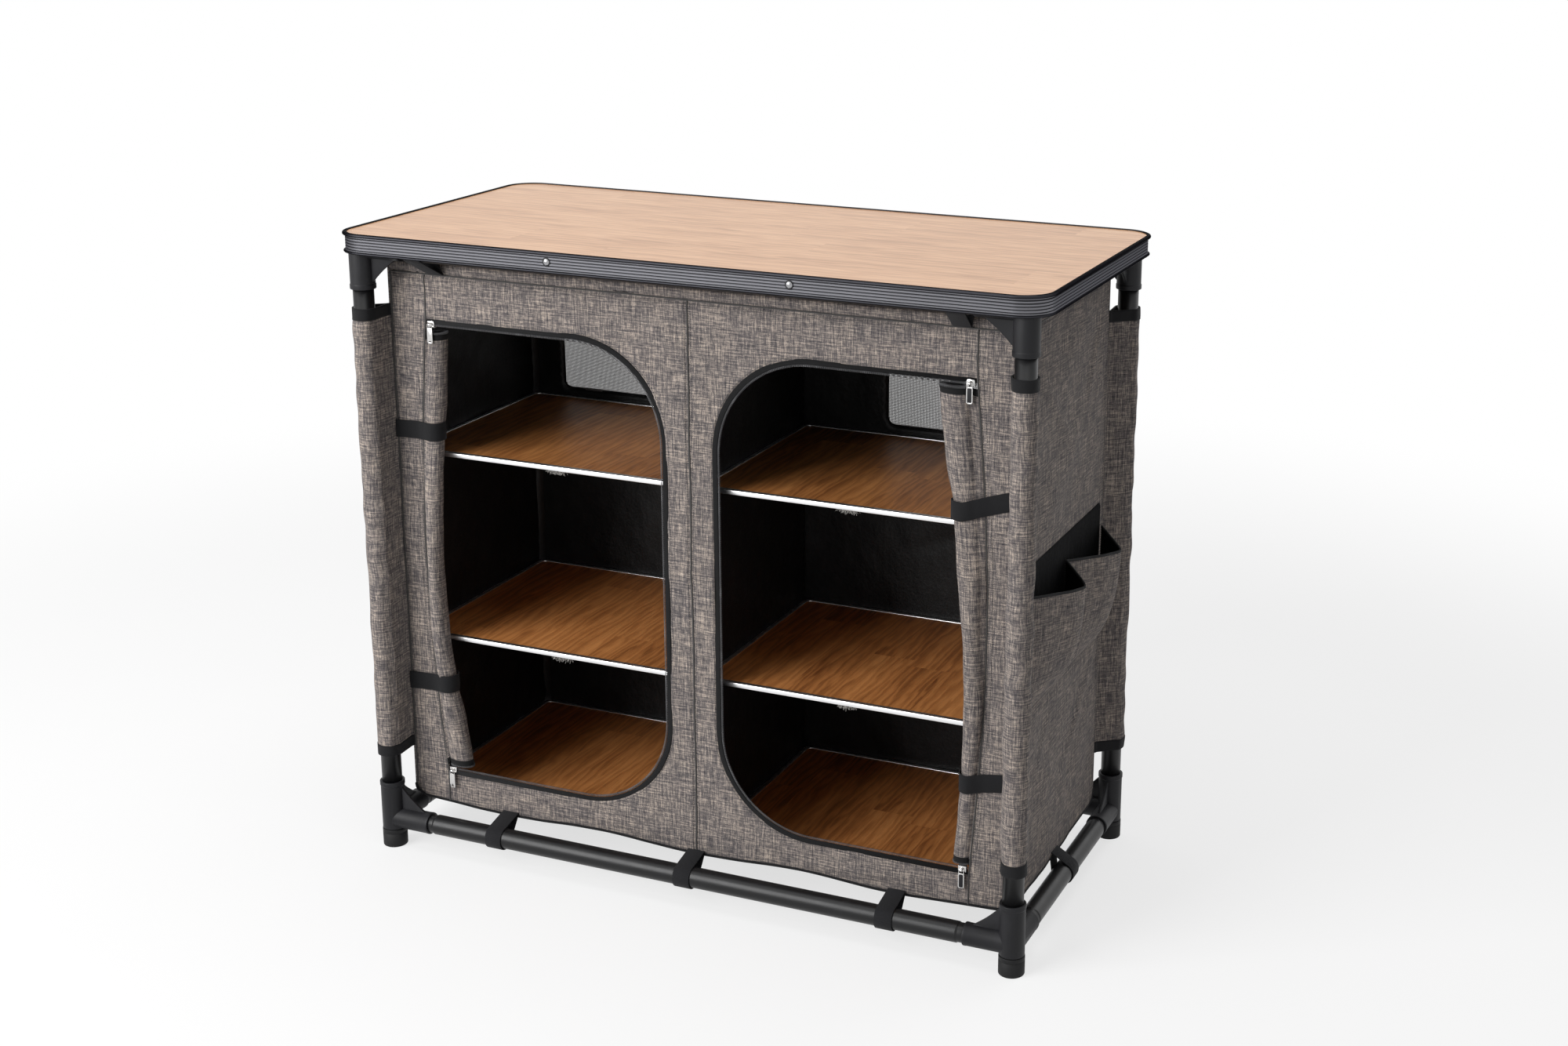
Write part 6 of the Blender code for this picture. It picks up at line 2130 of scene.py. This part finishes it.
@dataclass
class Pockets:
    """Two gaping bellows pockets on the right wall."""

    bench: Bench
    wall: float = 0.4536
    front: float = -0.150
    width: float = 0.1575
    mouth: float = 0.487
    bottom: float = 0.325
    dip: float = 0.016
    depth: float = 0.044
    backing: float = 0.034
    fold: float = 0.70
    belly: float = 2.4
    columns: int = 56
    rows: int = 44

    def _bulge(self, across: float, up: float) -> float:
        """Depth of a pocket as a share, from shares of its face."""
        side = across / self.fold if across < self.fold else (1 - across) / (1 - self.fold)
        soft = 1 - math.sqrt((1 - side) ** 2 + 0.0049) + 0.07
        rounded = soft + 0.12 * side * (1 - side)
        rise = (1 - (1 - up) ** self.belly) ** 0.8
        return max(0.0, rounded) * rise

    def _line(self, across: float, pocket: int) -> list[tuple[float, float, float]]:
        """One upright line of a pocket from its foot to its mouth."""
        y = self.front + self.width * (pocket + across)
        mouth = self.mouth - self.dip * self._bulge(across, 1.0)
        line = []
        for up in np.linspace(0.0, 1.0, self.rows):
            z = self.bottom + (mouth - self.bottom) * up
            loose = 0.0011 * math.sin(across * 19 + up * 5 + pocket) * math.sin(math.pi * across) * up
            line.append((self.wall + self.depth * self._bulge(across, up) + loose * 0.8, y, z))
        return line

    def build(self) -> None:
        """Make the pockets with their bound mouths and seams."""
        made, lines = self.bench.finishes, []
        for pocket in range(2):
            shares = np.linspace(0.0, 1.0, self.columns)
            lines += [self._line(share, pocket) for share in (shares if pocket else shares[:-1])]
        sheet = loft(np.array(lines), closed=False)
        face = self.bench.put_cloth("pocket_cloth", mirrored_faces(sheet).mesh("pockets", False), 0.0013,
                                    "grey_melange_cloth", made.cloth, made.pocket_lining,
                                    nodes=["side_pockets"])
        rim = np.array([line[-1] for line in lines])
        band = ribbon(resampled(rim + (-0.0006, 0, -0.0010), 0.0030), (0.0, 0.0, 1.0), 0.0038, 0.0024)
        self.bench.put("pocket_mouth_binding", band.mesh("band"), made.binding, "black_webbing")
        self._backing()
        seams = []
        for y in (self.front, self.front + self.width, self.front + 2 * self.width):
            seams.append(np.array([(self.wall + 0.0012, y, self.bottom), (self.wall + 0.0012, y, self.mouth)]))
        foot = self.wall + 0.0012, self.bottom
        seams.append(np.array([(foot[0], y, foot[1]) for y in (self.front, self.front + 2 * self.width)]))
        threads = StitchGrowth().grow("pocket_stitches", lines_mesh("pocket_seams", seams), Pitch=0.0034,
                                      Length=0.0026, Thickness=0.00055, Finish=made.thread)
        self.bench.put("pocket_stitching", threads, made.thread, "black_webbing")


    def _backing(self) -> None:
        """Black lining sewn to the wall behind the mouths."""
        made, low, high = self.bench.finishes, self.bottom + 0.012, self.mouth + self.backing
        outline = rounded_box((self.front + 0.001, low), (self.front + 2 * self.width - 0.001, high), 0.006, 4)
        sheet = Panel("pocket_backing", (self.wall - 0.0003, 0, 0), (0, 1, 0), (0, 0, 1), outline,
                      lambda u, v: ripple(u, v, 61, 0.09, 0.4) * 0.0001, (), 0.008)
        piece = self.bench.put_cloth("pocket_backing", sheet.shape().mesh("backing", False), 0.0006,
                                     "black_lining", made.pocket_lining, made.pocket_lining)


@dataclass
class Straps:
    """Webbing loops between the cloth body and the rails."""

    bench: Bench
    rail_x: float = 0.468
    rail_y: float = 0.213
    low_rail: float = 0.042
    high_rail: float = 0.8689
    radius: float = 0.0150
    wall_x: float = 0.4515
    wall_y: float = 0.178
    width: float = 0.025
    thickness: float = 0.0013
    spacing: float = 0.295

    def _loop(self, rail: Flat, apex: Flat, slack: float) -> np.ndarray:
        """Loop round a rail that comes together at the cloth, in the section plane."""
        offset = np.array(apex) - rail
        reach = np.linalg.norm(offset)
        heading = math.atan2(offset[1], offset[0])
        half = math.acos(self.radius / reach)
        angles = heading + half + (math.tau - 2 * half) * np.linspace(0.0, 1.0, 40)
        room = self.radius + slack * np.clip(-np.sin(angles), 0.0, 1.0)
        circle = np.stack((room * np.cos(angles), room * np.sin(angles)), axis=1) + rail
        side = np.array((-offset[1], offset[0])) / reach * self.thickness * 0.55
        path = np.vstack((np.array(apex) + side, circle, np.array(apex) - side))
        return resampled(path, 0.0018)

    def build(self) -> None:
        """Make the bottom loops and the tabs under the tabletop."""
        for end in End:
            apex = (end.value * self.wall_y, 0.0645)
            for place, x in (("left", -self.spacing), ("middle", 0.0), ("right", self.spacing)):
                path = self._loop((end.value * self.rail_y, self.low_rail), apex, 0.0008)
                self._put(f"strap_{end.label}_{place}", np.column_stack((np.full(len(path), x), path)),
                          (1.0, 0.0, 0.0))
            for side in Side:
                x = side.value * 0.385
                apex = (end.value * (self.wall_y + 0.0030), 0.8330)
                path = self._loop((end.value * self.rail_y, self.high_rail), apex, 0.0)
                lean = np.clip((self.high_rail - path[:, 1]) / 0.025, 0.0, 1.4) * side.value * -0.007
                self._put(f"top_tab_{side.label}_{end.label}", np.column_stack((x + lean, path)),
                          (1.0, 0.0, 0.0), stands=False)
        for side in Side:
            path = self._loop((side.value * self.rail_x, self.low_rail), (side.value * self.wall_x, 0.0725), 0.0010)
            skew = 0.007 * np.sin(np.linspace(0.0, math.pi, len(path)))
            points = np.column_stack((path[:, 0], skew, path[:, 1]))
            self._put(f"strap_{side.label}", points, (0.0, 1.0, 0.0))

    def _put(self, node: str, points: np.ndarray, across: tuple[float, float, float],
             stands: bool = True) -> None:
        """Place one loop for its node."""
        band = ribbon(points, across, self.width, self.thickness)
        self.bench.put(f"webbing_{node}", band.mesh("loop"), self.bench.finishes.webbing, "black_webbing",
                       nodes=[node] if stands else ())


@dataclass
class Studio:
    """Pale floor and backdrop, soft lamps and the camera."""

    floor: bpy.types.Material
    place: tuple[float, float, float] = (1.25889, -2.55628, 1.41136)
    yaw: float = 21.8332
    pitch: float = 15.4664
    roll: float = 0.5642
    lens: float = 49.403
    shift: Flat = (-0.0800, -0.0635)
    ambient: float = 0.18

    def build(self) -> None:
        """Set up floor, sky, lamps and camera."""
        form = loft(np.array([[(-9, -9, 0), (9, -9, 0)], [(-9, 9, 0), (9, 9, 0)]]), closed=False)
        mesh = form.mesh("floor", False)
        mesh.materials.append(self.floor)
        ground = bpy.data.objects.new("studio_ground", mesh)
        bpy.context.scene.collection.objects.link(ground)
        self._sky()
        self._lamp("key_panel", (-2.0, -3.1, 2.0), 2.6, 170.0)
        self._lamp("fill_panel", (3.4, -1.4, 1.2), 3.0, 1.0)
        self._lamp("overhead_panel", (0.1, 0.0, 3.4), 3.0, 52.0)
        self._lamp("rear_panel", (1.8, 3.0, 2.4), 2.6, 17.0)
        self._camera()
        bpy.context.scene.view_settings.view_transform = "Standard"

    def _sky(self) -> None:
        """White where the camera or a mirror sees it, dimmer as light."""
        world = bpy.data.worlds.new("studio_sky")
        world.use_nodes = True
        bpy.context.scene.world = world
        sky = Nodes(world.node_tree)
        light = sky.node("ShaderNodeBackground", inputs={0: (1.0, 1.0, 1.0, 1.0), 1: self.ambient})
        white = sky.node("ShaderNodeBackground", inputs={0: (1.0, 1.0, 1.0, 1.0), 1: 1.0})
        seen = sky.node("ShaderNodeLightPath", output="Is Camera Ray")
        mirrored = sky.node("ShaderNodeLightPath", output="Is Glossy Ray")
        passed = sky.node("ShaderNodeLightPath", output="Is Transmission Ray")
        mixed = sky.node("ShaderNodeMixShader", inputs={0: seen + mirrored + passed, 1: light, 2: white})
        sky.node("ShaderNodeOutputWorld", inputs={"Surface": mixed})

    def _lamp(self, name: str, place: tuple[float, float, float], size: float, power: float) -> None:
        """Square soft lamp that looks at the cupboard."""
        lamp = bpy.data.lights.new(name, "AREA")
        lamp.shape, lamp.size, lamp.energy = "SQUARE", size, power
        holder = bpy.data.objects.new(name, lamp)
        bpy.context.scene.collection.objects.link(holder)
        away = Vector(place) - Vector((0, 0, 0.45))
        holder.matrix_world = Matrix.Translation(place) @ away.to_track_quat("Z", "Y").to_matrix().to_4x4()

    def _camera(self) -> None:
        """Camera at the photograph's place and angle."""
        yaw, pitch, roll = (math.radians(angle) for angle in (self.yaw, self.pitch, self.roll))
        ahead = Vector((-math.sin(yaw) * math.cos(pitch), math.cos(yaw) * math.cos(pitch), -math.sin(pitch)))
        flat = Vector((math.cos(yaw), math.sin(yaw), 0))
        rise = flat.cross(ahead)
        right = math.cos(roll) * flat + math.sin(roll) * rise
        up = math.cos(roll) * rise - math.sin(roll) * flat
        lens = bpy.data.cameras.new("photo_camera")
        lens.lens, lens.sensor_width = self.lens, 36.0
        lens.shift_x, lens.shift_y = self.shift
        camera = bpy.data.objects.new("photo_camera", lens)
        bpy.context.scene.collection.objects.link(camera)
        turn = Matrix((right, up, -ahead)).transposed().to_4x4()
        camera.matrix_world = Matrix.Translation(self.place) @ turn
        bpy.context.scene.camera = camera


def main() -> None:
    """Build the studio, then every sub-assembly of the cupboard."""
    logging.basicConfig(level=logging.INFO, format="%(name)s: %(message)s")
    bench = Bench()
    Studio(bench.finishes.floor).build()
    TubeStand(bench).build()
    TableTop(bench).build()
    cloth = CupboardCloth(bench)
    cloth.build()
    Sleeves(bench).build()
    RolledDoors(bench, cloth).build()
    Zips(bench, cloth).build()
    Shelves(bench).build()
    Pockets(bench).build()
    Straps(bench).build()


if __name__ == "__main__":
    main()
